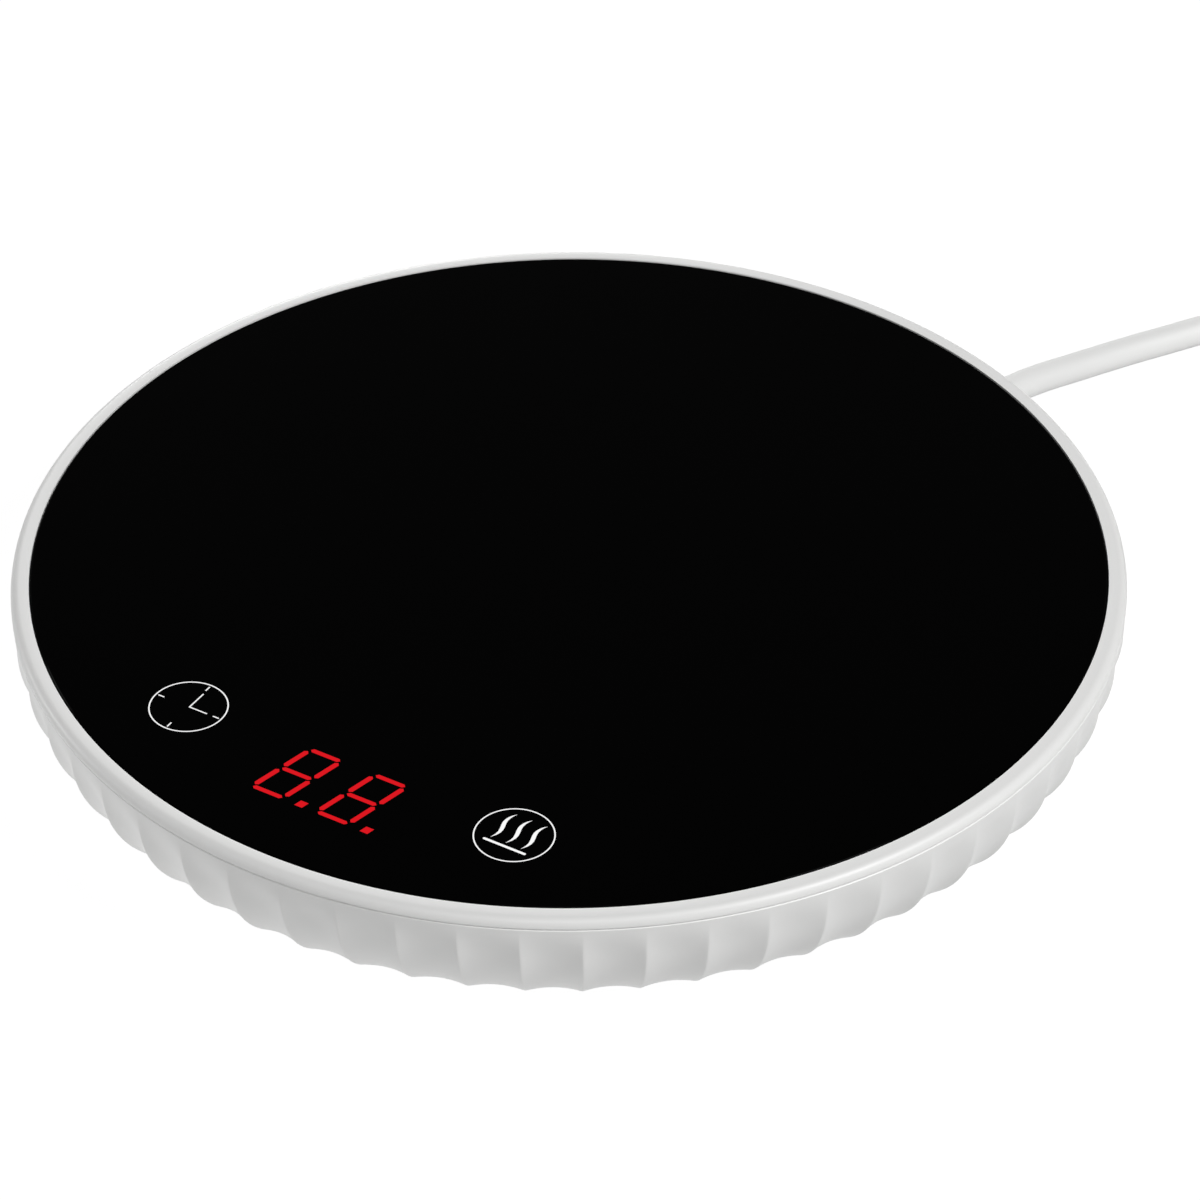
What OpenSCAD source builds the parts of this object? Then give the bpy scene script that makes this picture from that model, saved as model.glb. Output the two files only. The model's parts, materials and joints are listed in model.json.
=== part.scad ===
// Electric mug warmer: a round glass hot plate with touch keys, a two-digit display and a USB lead.
// Origin: centre of the base on the table. +Z up, -Y towards the user, +X to the user's right.

/* [Body] */
// Outer diameter of the rim and of the fluted side
body_d = 120; // [116:1:136]
// Height from the table to the top of the glass
body_h = 17; // [16.8:0.1:20]
// Height of the shell above the table
foot_gap = 1; // [0.7:0.1:1.2]
// Width of the rim round the glass
rim_w = 2; // [1.8:0.1:2.4]
// Height of the rim above the parting line
rim_h = 1.15; // [1.1:0.05:1.5]
// Radius of the rim's outer top edge
rim_round = 1; // [0.5:0.05:1.05]
// Open seam between the rim and the shell
seam = 0.15; // [0.1:0.05:0.3]
// Thickness of the shell's curved wall
wall = 2.2; // [2:0.1:2.4]
// Thickness of the shell's floor
floor_t = 1.8; // [1.6:0.1:2]
// Thickness of the shell's lip outside the frame's lap
lip_t = 1.15; // [1.1:0.05:1.3]
// Radial clearance between lip and lap
lap_gap = 0.1; // [0.05:0.05:0.2]
// Radius of the curve that brings the side in to the floor
side_arc_r = 14.1; // [14:0.1:15]
// Height above the shell's floor at which that curve starts
side_arc_rise = 13.1; // [12.6:0.1:13.2]

/* [Flutes] */
// Number of flutes round the side
flute_count = 60; // [48:1:72]
// Depth of a flute between its two edges
flute_depth = 0.55; // [0.2:0.05:0.7]
// Angle of the first edge between two flutes
flute_start = 3; // [0:0.5:6]

/* [Glass] */
// Thickness of the glass
glass_t = 3; // [2.5:0.1:3.4]
// Gap round the glass
glass_gap = 0.1; // [0.05:0.05:0.2]
// Bevel on the glass's top edge
glass_bevel = 0.15; // [0.1:0.05:0.3]
// Thickness of the adhesive tape
tape_t = 0.3; // [0.2:0.05:0.5]
// Width of the adhesive tape
tape_w = 4; // [3:0.5:4.5]
// Distance from the body's edge in to the ledge's inner edge
ledge_reach = 7.5; // [6.8:0.1:7.6]
// Thickness of the ledge
ledge_t = 1.5; // [1.2:0.1:1.8]

/* [Heater] */
// Distance from the body's edge in to the aluminium heat spreader and the pad
spreader_inset = 25; // [24:0.5:28]
// Thickness of the heat spreader
spreader_t = 1.5; // [1:0.1:1.8]
// How far the foil heater stays inside the spreader's edge
film_margin = 2; // [1:0.5:4]
// Thickness of the foil heater
film_t = 0.2; // [0.1:0.05:0.3]
// Thickness of the insulation pad
pad_t = 1.5; // [1.4:0.1:1.8]
// How far the carrier plate stands out round the pad
carrier_margin = 2; // [1:0.5:3]
// Thickness of the carrier plate
carrier_t = 0.8; // [0.6:0.1:1]
// Width of the carrier's arms
arm_w = 6; // [5:0.5:8]
// Diameter of the carrier's wire holes
wire_hole_d = 8; // [7.5:0.5:10]
// Diameter of the thermistor bead
bead_d = 1.4; // [1:0.1:1.4]
// Diameter of the pad's hole for the thermistor
bead_hole_d = 3; // [2.4:0.2:4]
// Length of the thermal fuse
fuse_l = 8; // [7:0.5:9]
// Width of the thermal fuse
fuse_w = 2.6; // [2.2:0.1:3]
// Height of the thermal fuse
fuse_h = 1.3; // [1:0.1:1.4]
// Clearance round the thermal fuse
fuse_gap = 0.3; // [0.1:0.1:0.5]
// Distance from the centre to the thermal fuse, and to the heater's terminals
fuse_y = 14; // [12:0.5:16]
// Distance between the heater's two terminals
terminal_pitch = 4; // [3:0.5:5]

/* [Screws and posts] */
// Distance from the body's edge in to the housing screws
screw_inset = 14; // [13.5:0.25:15]
// Angle of the housing screws from the X axis
screw_angle = 30; // [27:1:33]
// Diameter of a housing screw's shank
screw_d = 2.6; // [2.2:0.1:3]
// Diameter of a housing screw's head
head_d = 4.6; // [4:0.1:5]
// Height of a housing screw's head
head_h = 1.6; // [1.2:0.1:1.8]
// Length of the cross slot in a housing screw's head
slot_l = 2.8; // [2.4:0.1:3.2]
// Width of that slot
slot_w = 0.6; // [0.4:0.05:0.8]
// Radial clearance of a screw in a hole it passes through
screw_gap = 0.15; // [0.1:0.05:0.25]
// Radial clearance of a screw in the hole it bites into
bite_gap = 0.03; // [0.01:0.01:0.05]
// Depth of a screw well
well_depth = 2.4; // [2:0.1:2.8]
// Clearance round a screw head in its well
well_gap = 0.4; // [0.3:0.1:0.5]
// Diameter of a screw tower and of a frame boss
tower_d = 7; // [6.6:0.1:7.6]
// Thickness of the ribs that brace a tower
rib_t = 1.2; // [1:0.1:1.5]
// Height of those ribs above the floor
rib_h = 2.2; // [1.6:0.1:2.4]
// Depth left unfilled past a screw's tip
tip_gap = 0.3; // [0.2:0.1:0.4]
// Plastic left at the end of a blind screw hole
boss_roof = 0.6; // [0.5:0.1:0.8]
// Distance from the body's edge in to the feet
foot_inset = 19; // [18:0.5:20]
// Diameter of a foot
foot_d = 10; // [8:0.5:11]
// Depth of a foot's recess
foot_recess = 0.8; // [0.5:0.1:1]
// Clearance round a foot in its recess
foot_clear = 0.15; // [0.1:0.05:0.3]

/* [Board] */
// Thickness of the circuit board
board_t = 1.2; // [1:0.1:1.6]
// Half-width of the circuit board
board_half_w = 33; // [32:0.5:34]
// Clearance between the board and the screw towers, which it is notched for
board_side_gap = 1; // [0.6:0.1:1.4]
// Distance from the body's edge in to the board's back edge
board_inset = 34; // [33.5:0.25:35]
// Clearance between the board's front edge and the shell
board_gap = 1.2; // [0.8:0.1:2]
// Distance from the middle to a board screw
board_screw_x = 29; // [28:0.5:29.5]
// Distance from the board's back edge to its screws
board_screw_inset = 5; // [4:0.5:6]
// Diameter of a board screw's shank
board_screw_d = 2; // [1.8:0.1:2.2]
// Diameter of a board screw's head
board_head_d = 3.8; // [3.4:0.1:4]
// Height of a board screw's head
board_head_h = 1.2; // [1:0.1:1.4]
// Diameter of a board post
post_d = 4.6; // [4.2:0.1:5]

/* [Display and keys] */
// Distance from the body's edge in to the middle of the digits
digit_inset = 14.04; // [13.94:0.1:14.54]
// Distance between the two digits
digit_pitch = 7.92; // [7.4:0.02:8.2]
// Middle of the left digit
digit_x = -4.17; // [-4.4:0.01:-3.9]
// Half the height of a digit
digit_half_h = 3.92; // [3.6:0.02:4]
// Half the width of a digit
digit_half_w = 1.86; // [1.7:0.02:1.9]
// Slant of the digits, sideways per height
digit_slant = 0.23; // [0.15:0.01:0.27]
// Width of a lit segment
segment_w = 0.6; // [0.4:0.05:0.8]
// Gap between the ends of neighbouring segments
segment_gap = 0.3; // [0.2:0.05:0.4]
// Distance from a digit's side to its decimal point
point_gap = 2.1; // [1.8:0.1:2.4]
// Width of a decimal point
point_w = 0.9; // [0.7:0.1:1]
// Height of a lit segment's lens
segment_t = 0.2; // [0.1:0.05:0.3]
// Width of the display module
display_w = 18; // [17.5:0.1:18.4]
// Depth of the display module
display_d = 11; // [10.5:0.1:11.5]
// Height of the display module
display_h = 7; // [6.6:0.1:7.2]
// Thickness of the foam between the display and the glass
gasket_t = 0.4; // [0.3:0.1:0.6]
// Width of the foam round the digits
gasket_w = 0.9; // [0.6:0.1:1]
// Distance from the middle to a key
key_x = 19.92; // [19.42:0.1:20.12]
// Distance from the body's edge in to the keys
key_inset = 17.29; // [16.79:0.1:17.79]
// Diameter of a key spring
spring_d = 7; // [6:0.5:8]
// Diameter of the spring's wire
spring_wire_d = 0.6; // [0.5:0.05:0.8]
// Turns in a key spring
spring_turns = 5; // [4:1:6]

/* [Parts on the board] */
// Length of the controller chip
mcu_l = 10; // [8:0.5:10.5]
// Width of the controller chip
mcu_w = 4; // [3.6:0.1:4.4]
// Height of the controller chip
mcu_h = 1.5; // [1.2:0.1:1.8]
// Length of the power transistor
mosfet_l = 6.6; // [6:0.1:7]
// Width of the power transistor
mosfet_w = 6.1; // [5.6:0.1:6.4]
// Height of the power transistor
mosfet_h = 2.3; // [2:0.1:2.6]
// Distance from the middle to the controller chip and to the power transistor
chip_x = 9; // [8.5:0.25:9.5]
// Distance from the board's back edge to those two
chip_inset = 8; // [7.5:0.25:8.25]
// Diameter of the capacitor
capacitor_d = 5; // [4:0.5:6]
// Height of the capacitor
capacitor_h = 5.4; // [4:0.2:5.8]
// Distance from the middle to the capacitor
capacitor_x = 26.5; // [26:0.25:27]
// Distance from the board's back edge to the capacitor
capacitor_inset = 14; // [13.5:0.25:14.5]
// Diameter of the buzzer
buzzer_d = 9; // [8:0.5:9]
// Height of the buzzer
buzzer_h = 4.2; // [3:0.2:4.6]
// Diameter of the buzzer's sound hole
sound_hole_d = 2; // [1.5:0.1:3]
// Depth of the buzzer's sound hole
sound_hole_h = 1; // [0.6:0.1:1.4]
// Distance from the middle to the buzzer
buzzer_x = 27.5; // [27.2:0.1:27.8]
// Distance from the board's back edge to the buzzer
buzzer_inset = 12.2; // [12:0.1:12.4]
// Length of a two-pin connector
connector_l = 7; // [6:0.5:8]
// Width of a two-pin connector
connector_w = 4.5; // [4:0.1:4.6]
// Height of a two-pin connector
connector_h = 3; // [2.6:0.1:3.2]
// Distance from the middle to the power and the heater connector
connector_x = 19; // [18.5:0.25:19.5]
// Distance from the board's back edge to those two
connector_inset = 5; // [4:0.25:5.25]
// Distance from the board's back edge to the sensor connector
sensor_inset = 3; // [2.6:0.1:3.2]
// Length of a chip resistor
resistor_l = 1.6; // [1.4:0.1:1.8]
// Width of a chip resistor
resistor_w = 0.8; // [0.7:0.05:1]
// Height of a chip resistor
resistor_h = 0.5; // [0.4:0.05:0.6]
// Distance between chip resistors
resistor_pitch = 2.6; // [2.2:0.1:3]
// Distance from the board's back edge to the row of chip resistors
resistor_inset = 12.3; // [12.1:0.1:12.6]

/* [Wires] */
// Diameter of a heater wire
heater_wire_d = 1.1; // [0.9:0.1:1.3]
// Diameter of a sensor wire
sensor_wire_d = 0.6; // [0.5:0.05:0.8]
// Diameter of a power wire
power_wire_d = 1.3; // [1.1:0.1:1.5]
// Distance between the two wires of a connector
wire_pitch = 2; // [1.6:0.1:2.4]
// How far a wire runs straight on out of a connector
wire_run = 4; // [3:0.5:5]
// How far the heater's wires hang below the carrier
wire_drop = 2; // [1.6:0.1:2.4]
// Height at which the power wires cross the floor, above it
wire_lift = 1.6; // [1.2:0.1:2]

/* [Cord] */
// Diameter of the lead
cord_d = 3.5; // [3.3:0.1:3.6]
// Radial clearance of the lead in its bush and clamp
cord_gap = 0.05; // [0.02:0.01:0.1]
// Diameter of the bush where it passes the wall
bush_d = 5.6; // [5.4:0.1:6]
// Radial clearance of the bush in the wall
bush_gap = 0.1; // [0.05:0.05:0.15]
// Diameter of the bush's inner flange
bush_flange_d = 6.8; // [6.6:0.1:6.8]
// Thickness of the bush's inner flange
bush_flange_t = 1; // [0.8:0.1:1.4]
// Distance from the body's edge in to the flange's seat
bush_seat_inset = 10; // [9.8:0.1:10.6]
// Diameter of the bush at its outer end
bush_tip_d = 4.9; // [4.7:0.1:5.2]
// Length of the bush's taper
bush_taper = 1; // [0.6:0.1:1.6]
// Diameter of the wall's pad round the bush
bush_pad_d = 9; // [8:0.2:9.4]
// Distance from the body's edge in to the lead's inner end
tail_inset = 20; // [19.5:0.5:22]
// Distance from the body's edge in to the clamp
clamp_inset = 16; // [15.5:0.25:16.5]
// Length of the clamp bar
clamp_l = 15; // [14:0.5:16]
// Width of the clamp bar
clamp_w = 5; // [4.5:0.25:5.5]
// Height of the clamp bar
clamp_h = 2.4; // [2.2:0.1:2.8]
// Distance from the lead to a clamp screw
clamp_screw_x = 5; // [4.6:0.1:5.2]
// Gap between the clamp bar and its block
clamp_gap = 0.4; // [0.2:0.1:0.6]
// Length of a clamp screw's shank
clamp_screw_l = 5; // [4.4:0.2:5.4]

/* [Plug] */
// Width of the plug's moulded body
plug_w = 15.6; // [14.5:0.1:16.5]
// Length of the plug's moulded body
plug_l = 21; // [18:0.5:24]
// Height of the plug's moulded body
plug_h = 7.5; // [7:0.1:8.4]
// Length of the plug's tapered tail
plug_tail_l = 8; // [6:0.5:10]
// Diameter of the tail where the lead enters
plug_tail_d = 5; // [4.6:0.1:5.6]
// Step all round between the tail's wide end and the moulded body
tail_step = 0.25; // [0.1:0.05:0.4]
// Number of grooves that let the tail bend
groove_count = 4; // [2:1:5]
// Width of a groove
groove_w = 0.7; // [0.5:0.1:0.9]
// Thickness of the tail's skin round the lead at a groove
groove_skin = 0.5; // [0.4:0.05:0.6]
// Radius of the moulded body's corners
plug_corner_r = 1.5; // [1:0.1:2]
// Width of the plug's metal shell
plug_shell_w = 12; // [11.9:0.05:12.1]
// Length of the plug's metal shell in front of the moulded body
plug_shell_l = 18.75; // [18:0.25:19]
// Height of the plug's metal shell
plug_shell_h = 4.5; // [4.4:0.05:4.6]
// Thickness of the metal shell
plug_shell_t = 0.3; // [0.25:0.05:0.4]
// Thickness of the plug's tongue
tongue_t = 1.95; // [1.8:0.05:2]
// Clearance between the tongue and the shell's walls
tongue_gap = 0.05; // [0.02:0.01:0.1]
// Set-back of the tongue from the shell's mouth
tongue_set_back = 0.6; // [0.4:0.1:1]
// Width and length of a window in the metal shell
window_w = 2.5; // [2:0.1:2.8]
// Distance from the middle to a window
window_x = 2.9; // [2.6:0.1:3.2]
// Distance from the mouth to a window
window_y = 5.2; // [4.8:0.1:5.6]
// Width of a contact
contact_w = 1; // [0.8:0.1:1.2]
// Thickness of a contact
contact_t = 0.1; // [0.08:0.01:0.15]
// Distance from the middle to the two inner contacts
inner_contact_x = 1; // [0.8:0.1:1.2]
// Length of the two inner contacts
inner_contact_l = 8; // [7:0.5:8.5]
// Distance from the middle to the two outer contacts
outer_contact_x = 3.5; // [3.2:0.1:3.8]
// Length of the two outer contacts
outer_contact_l = 9; // [8:0.5:10]

/* [Hidden] */
$fn = 96;

// Standard sizes of small electronic parts
pin_pitch = 1.27;
pin_w = 0.4;
pin_l = 1;
pin_t = 0.25;
tab_w = 5;
tab_t = 0.6;

white = "white";
steel = "silver";
cut = 0.1;                                    // how far a cut runs past the face it opens

// Heights, from the glass down
body_r = body_d / 2;
glass_r = body_r - rim_w - glass_gap;
opening_r = body_r - rim_w;
glass_z = body_h - glass_t;
split_z = body_h - rim_h;
ledge_z = glass_z - tape_t;
shoulder_z = ledge_z - ledge_t;
ledge_in_r = body_r - ledge_reach;
lap_r = body_r - lip_t - lap_gap;
spreader_r = body_r - spreader_inset;
film_r = spreader_r - film_margin;
carrier_r = spreader_r + carrier_margin;
film_z = glass_z - spreader_t - film_t;
pad_z = film_z - pad_t;
carrier_z = pad_z - carrier_t;
floor_z = foot_gap + floor_t;

// The side's curve
arc_z = foot_gap + side_arc_rise;
arc_r = body_r - side_arc_r;
shell_top_z = split_z - seam;
arc_steps = 8;
flute_steps = 5;
side_n = flute_count * flute_steps;

// Screws and feet
screw_r = body_r - screw_inset;
foot_r = body_r - foot_inset;
screw_angles = [screw_angle, 180 - screw_angle, 180 + screw_angle, 360 - screw_angle];
foot_angles = [45, 135, 225, 315];
well_z = foot_gap + well_depth;
hole_top_z = ledge_z - boss_roof;

// Board, and where its parts sit
board_back_y = body_r - board_inset;
board_screw_y = board_back_y + board_screw_inset;
board_top_z = glass_z - gasket_t - display_h;
board_z = board_top_z - board_t;
board_front_r = arc_r + sqrt(pow(side_arc_r - wall, 2) - pow(arc_z - board_z, 2)) - board_gap;
digit_y = body_r - digit_inset;
display_x = digit_x + digit_pitch / 2;
key_y = body_r - key_inset;
capacitor_at = [capacitor_x, -board_back_y - capacitor_inset];
buzzer_at = [-buzzer_x, -board_back_y - buzzer_inset];
mcu_at = [-chip_x, -board_back_y - chip_inset];
mosfet_at = [chip_x, -board_back_y - chip_inset];
resistors_at = [0, -board_back_y - resistor_inset];
power_plug_at = [-connector_x, -board_back_y - connector_inset];
sensor_plug_at = [0, -board_back_y - sensor_inset];
heater_plug_at = [connector_x, -board_back_y - connector_inset];
wire_z = board_top_z + connector_h / 2;       // height at which wires enter a connector
hang_z = carrier_z - wire_drop;

// Lead: where it leaves the body, and the points it follows from its bush to the coil
// and from the coil to its plug. They are written for a body of this radius
route_r = 60;
cord_angle = 73;
cord_z = 6.5;
cord_out = [cos(cord_angle), sin(cord_angle), 0];
cord_shift = (body_r - route_r) * cord_out;
tail_r = body_r - tail_inset;
clamp_r = body_r - clamp_inset;
bush_seat_r = body_r - bush_seat_inset;
lead_points = [
  [17.54, 57.38, 6.5], [18.4, 60.2, 6.5], [19.0, 63.5, 6.3], [19.8, 68.0, 5.6], [20.8, 72.6, 4.6],
  [22.1, 77.2, 3.5], [23.8, 81.8, 2.6], [25.8, 86.2, 2.0], [28.1, 90.4, 1.8], [30.6, 94.6, 1.8],
  [33.3, 98.8, 1.8], [36.0, 103.0, 1.8], [38.7, 107.1, 1.9], [41.3, 111.2, 2.1], [44.0, 115.3, 2.4]
];
end_points = [
  [92.2, 101.0, 5.9], [92.2, 96.5, 5.2], [92.2, 92.0, 4.1], [92.2, 87.5, 3.0], [92.2, 83.0, 2.4],
  [92.2, 78.5, 2.7], [92.2, 74.0, 3.4], [92.2, 70.0, 3.8]
];
coil_at = [66, 101, 0];
coil_mean_r = 19.25;
coil_turns = 5;                               // side by side
coil_layers = 2;
tie_t = 0.6;
tie_gap = 0.02;
tie_w = 7;
tie_angles = [60, 240];
plug_x = 92.2;
plug_rear_y = 70;
plug_z = plug_h / 2;
shell_y = plug_rear_y - plug_tail_l - plug_l;
nose_y = shell_y - plug_shell_l;
plug_in_x = plug_shell_w - 2 * plug_shell_t;
plug_in_z = plug_shell_h - 2 * plug_shell_t;

// ---- Shapes used by several pieces ----

// The side's radius at a height, on the edges between the flutes
function side_r(z) = z >= arc_z ? body_r : arc_r + sqrt(pow(side_arc_r, 2) - pow(arc_z - z, 2));

// The heights of the loft's rows, from just below the floor to just above the lip
arc_span = asin((arc_z - foot_gap + cut) / side_arc_r);
side_rows = concat(
  [for (i = [arc_steps : -1 : 0]) arc_z - side_arc_r * sin(arc_span * i / arc_steps)],
  [shell_top_z + cut]
);

// One point of the loft: a hollow arc between each pair of edges
function side_point(i, z) =
  let (u = 2 * (i % flute_steps) / flute_steps - 1,
       r = side_r(z) - flute_depth * (1 - u * u),
       a = flute_start + i * 360 / side_n)
  [r * cos(a), r * sin(a), z];

// The outer form of the shell as one closed loft
module fluted_bowl() {
  points = [for (z = side_rows) for (i = [0 : side_n - 1]) side_point(i, z)];
  rows = len(side_rows);
  sides = [
    for (k = [0 : rows - 2]) for (i = [0 : side_n - 1])
      let (j = (i + 1) % side_n)
      each [
        [k * side_n + i, (k + 1) * side_n + i, (k + 1) * side_n + j],
        [k * side_n + i, (k + 1) * side_n + j, k * side_n + j]
      ]
  ];
  floor_face = [for (i = [0 : side_n - 1]) i];
  top_face = [for (i = [side_n - 1 : -1 : 0]) (rows - 1) * side_n + i];
  polyhedron(points, concat(sides, [floor_face, top_face]));
}

// The plain bowl that lies a given distance inside the edges between the flutes
module bowl(inset, low_z, high_z) {
  rotate_extrude($fn = 180) intersection() {
    union() {
      translate([arc_r, arc_z]) circle(side_arc_r - inset);
      square([arc_r, high_z]);
      translate([0, arc_z]) square([body_r - inset, high_z - arc_z]);
    }
    translate([0, low_z]) square([body_r, high_z - low_z]);
  }
}

// A tube through a list of points, with flat ends
function unit(v) = v / norm(v);
function heading(p, i) = unit(p[min(i + 1, len(p) - 1)] - p[max(i - 1, 0)]);
module tube(points, d, sides) {
  n = len(points);
  rings = [
    for (i = [0 : n - 1])
      let (t = heading(points, i),
           side = unit(cross(t, abs(t.z) > 0.9 ? [1, 0, 0] : [0, 0, 1])),
           up = cross(side, t))
      for (k = [0 : sides - 1])
        let (a = 360 * (k + 0.5) / sides)
        points[i] + d / 2 / cos(180 / sides) * (side * cos(a) + up * sin(a))
  ];
  walls = [
    for (i = [0 : n - 2]) for (k = [0 : sides - 1])
      let (m = (k + 1) % sides, a = i * sides, b = (i + 1) * sides)
      each [[a + k, b + m, b + k], [a + k, a + m, b + m]]
  ];
  first = [for (k = [sides - 1 : -1 : 0]) k];
  last = [for (k = [0 : sides - 1]) (n - 1) * sides + k];
  polyhedron(rings, concat(walls, [first, last]));
}

module at_angles(angles, r) {
  for (a = angles) rotate(a) translate([r, 0, 0]) children();
}

// A box centred on X and Y that stands on z = 0
module block(size) {
  translate([-size.x / 2, -size.y / 2, 0]) cube(size);
}

module on_board(at) {
  translate([at.x, at.y, board_top_z]) children();
}

// Along the lead where it leaves the body: children point outwards from the centre
module along_cord(r) {
  rotate(cord_angle) translate([r, 0, cord_z]) rotate([0, 90, 0]) children();
}

// ---- Glass and frame ----

module glass_panel() {
  color([0.02, 0.02, 0.02]) translate([0, 0, glass_z]) rotate_extrude($fn = 180) {
    square([glass_r - glass_bevel, glass_t]);
    square([glass_r, glass_t - glass_bevel]);
    polygon([
      [glass_r - glass_bevel, glass_t - glass_bevel], [glass_r, glass_t - glass_bevel],
      [glass_r - glass_bevel, glass_t]
    ]);
  }
}

module panel_adhesive() {
  color("dimgray") translate([0, 0, ledge_z]) difference() {
    cylinder(h = tape_t, r = glass_r - lap_gap);
    translate([0, 0, -cut]) cylinder(h = tape_t + 2 * cut, r = glass_r - lap_gap - tape_w);
  }
}

module top_frame() {
  color(white) difference() {
    union() {
      rotate_extrude($fn = 180) {
        // rim with its rounded outer edge
        translate([opening_r, split_z]) square([rim_w, rim_h - rim_round]);
        translate([opening_r, split_z]) square([rim_w - rim_round, rim_h]);
        translate([body_r - rim_round, body_h - rim_round]) intersection() {
          circle(rim_round);
          square(rim_round);
        }
        // lap inside the shell's lip, and the ledge under the glass
        translate([opening_r, shoulder_z]) square([lap_r - opening_r, split_z - shoulder_z]);
        translate([ledge_in_r, shoulder_z]) square([opening_r - ledge_in_r, ledge_t]);
      }
      at_angles(screw_angles, screw_r) translate([0, 0, carrier_z + carrier_t]) {
        cylinder(h = ledge_z - carrier_z - carrier_t, d = tower_d);
        translate([0, -tower_d / 2, 0])
          cube([ledge_in_r + tape_w / 2 - screw_r, tower_d, ledge_z - carrier_z - carrier_t]);
      }
    }
    at_angles(screw_angles, screw_r) translate([0, 0, carrier_z])
      cylinder(h = hole_top_z - carrier_z, d = screw_d + 2 * bite_gap);
  }
}

// ---- Shell ----

module base_shell() {
  color(white) difference() {
    union() {
      difference() {
        fluted_bowl();
        bowl(wall, floor_z, shoulder_z + cut);
        translate([0, 0, shoulder_z]) cylinder(h = body_h, r = body_r - lip_t, $fn = 180);
        // both ends of the loft are cut flat
        for (z = [foot_gap - body_h, shell_top_z]) translate([0, 0, z])
          cylinder(h = body_h, r = body_r + cut);
      }
      at_angles(screw_angles, screw_r) translate([0, 0, floor_z - cut])
        cylinder(h = carrier_z - floor_z + cut, d = tower_d);
      tower_ribs();
      board_posts();
      clamp_block();
      bush_pad();
    }
    at_angles(screw_angles, screw_r) {
      translate([0, 0, foot_gap - cut]) cylinder(h = well_depth + cut, d = head_d + 2 * well_gap);
      translate([0, 0, foot_gap]) cylinder(h = body_h, d = screw_d + 2 * screw_gap);
    }
    at_angles(foot_angles, foot_r) translate([0, 0, foot_gap - cut])
      cylinder(h = foot_recess + cut, d = foot_d + 2 * foot_clear);
    along_cord(bush_seat_r - cut) cylinder(h = body_r, d = bush_d + 2 * bush_gap);
  }
}

// Ribs from each screw tower to the wall behind it, and to both sides
module tower_ribs() {
  intersection() {
    at_angles(screw_angles, screw_r) for (turn = [-90, 0, 90]) rotate(turn)
      translate([0, -rib_t / 2, floor_z - cut]) cube([tower_d, rib_t, rib_h + cut]);
    bowl(wall / 2, floor_z - cut, shoulder_z);
  }
}

// Two posts for the board's screws, and one under the middle of its back edge
module board_posts() {
  post_h = board_z - floor_z + cut;
  for (side = [-1, 1]) translate([side * board_screw_x, -board_screw_y, floor_z - cut]) difference() {
    cylinder(h = post_h, d = post_d);
    translate([0, 0, cut + boss_roof]) cylinder(h = post_h, d = board_screw_d + 2 * bite_gap);
  }
  translate([0, -board_back_y - post_d / 2, floor_z - cut]) cylinder(h = post_h, d = post_d);
}

module clamp_block() {
  block_h = cord_z - clamp_gap / 2 - floor_z + cut;
  difference() {
    rotate(cord_angle) translate([clamp_r, 0, floor_z - cut])
      block([clamp_w, clamp_l, block_h]);
    along_cord(clamp_r - clamp_w) cylinder(h = 2 * clamp_w, d = cord_d + 2 * cord_gap);
    clamp_screw_places() translate([0, 0, floor_z + boss_roof])
      cylinder(h = body_h, d = board_screw_d + 2 * bite_gap);
  }
}

module clamp_screw_places() {
  rotate(cord_angle) for (side = [-1, 1]) translate([clamp_r, side * clamp_screw_x, 0]) children();
}

module bush_pad() {
  intersection() {
    along_cord(bush_seat_r) cylinder(h = body_r - bush_seat_r, d = bush_pad_d);
    bowl(wall / 2, floor_z - cut, shoulder_z);
  }
}

module rubber_feet() {
  color("gray") at_angles(foot_angles, foot_r) cylinder(h = foot_gap + foot_recess, d = foot_d);
}

module housing_screws() {
  shank_h = hole_top_z - tip_gap - well_z;
  color(steel) at_angles(screw_angles, screw_r) translate([0, 0, well_z]) {
    cylinder(h = shank_h, d = screw_d);
    translate([0, 0, -head_h]) difference() {
      cylinder(h = head_h, d = head_d);
      translate([0, 0, -cut]) {
        block([slot_l, slot_w, head_h / 2 + cut]);
        block([slot_w, slot_l, head_h / 2 + cut]);
      }
    }
  }
}

// ---- Heater ----

module heat_spreader() {
  color(steel) translate([0, 0, glass_z - spreader_t]) cylinder(h = spreader_t, r = spreader_r);
}

module heater_film() {
  color("goldenrod") translate([0, 0, film_z]) cylinder(h = film_t, r = film_r);
}

module insulation_pad() {
  color("ivory") translate([0, 0, pad_z]) difference() {
    cylinder(h = pad_t, r = spreader_r);
    translate([0, 0, -cut]) cylinder(h = pad_t + 2 * cut, d = bead_hole_d);
    for (side = [-1, 1]) translate([0, side * fuse_y, -cut])
      block([fuse_l + 2 * fuse_gap, fuse_w + 2 * fuse_gap, pad_t + 2 * cut]);
  }
}

module heater_carrier() {
  color(steel) translate([0, 0, carrier_z]) difference() {
    union() {
      cylinder(h = carrier_t, r = carrier_r);
      at_angles(screw_angles, screw_r) {
        cylinder(h = carrier_t, d = tower_d);
        translate([spreader_r - screw_r, -arm_w / 2, 0])
          cube([screw_r - spreader_r, arm_w, carrier_t]);
      }
    }
    translate([0, 0, -cut]) {
      at_angles(screw_angles, screw_r)
        cylinder(h = carrier_t + 2 * cut, d = screw_d + 2 * screw_gap);
      for (y = [-fuse_y, 0, fuse_y]) translate([0, y, 0])
        cylinder(h = carrier_t + 2 * cut, d = wire_hole_d);
    }
  }
}

module thermistor() {
  color("black") translate([0, 0, film_z - bead_d / 2]) sphere(d = bead_d, $fn = 24);
}

module thermal_fuse() {
  color("white") translate([0, fuse_y, film_z - fuse_h]) block([fuse_l, fuse_w, fuse_h]);
}

// ---- Board ----

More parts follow.
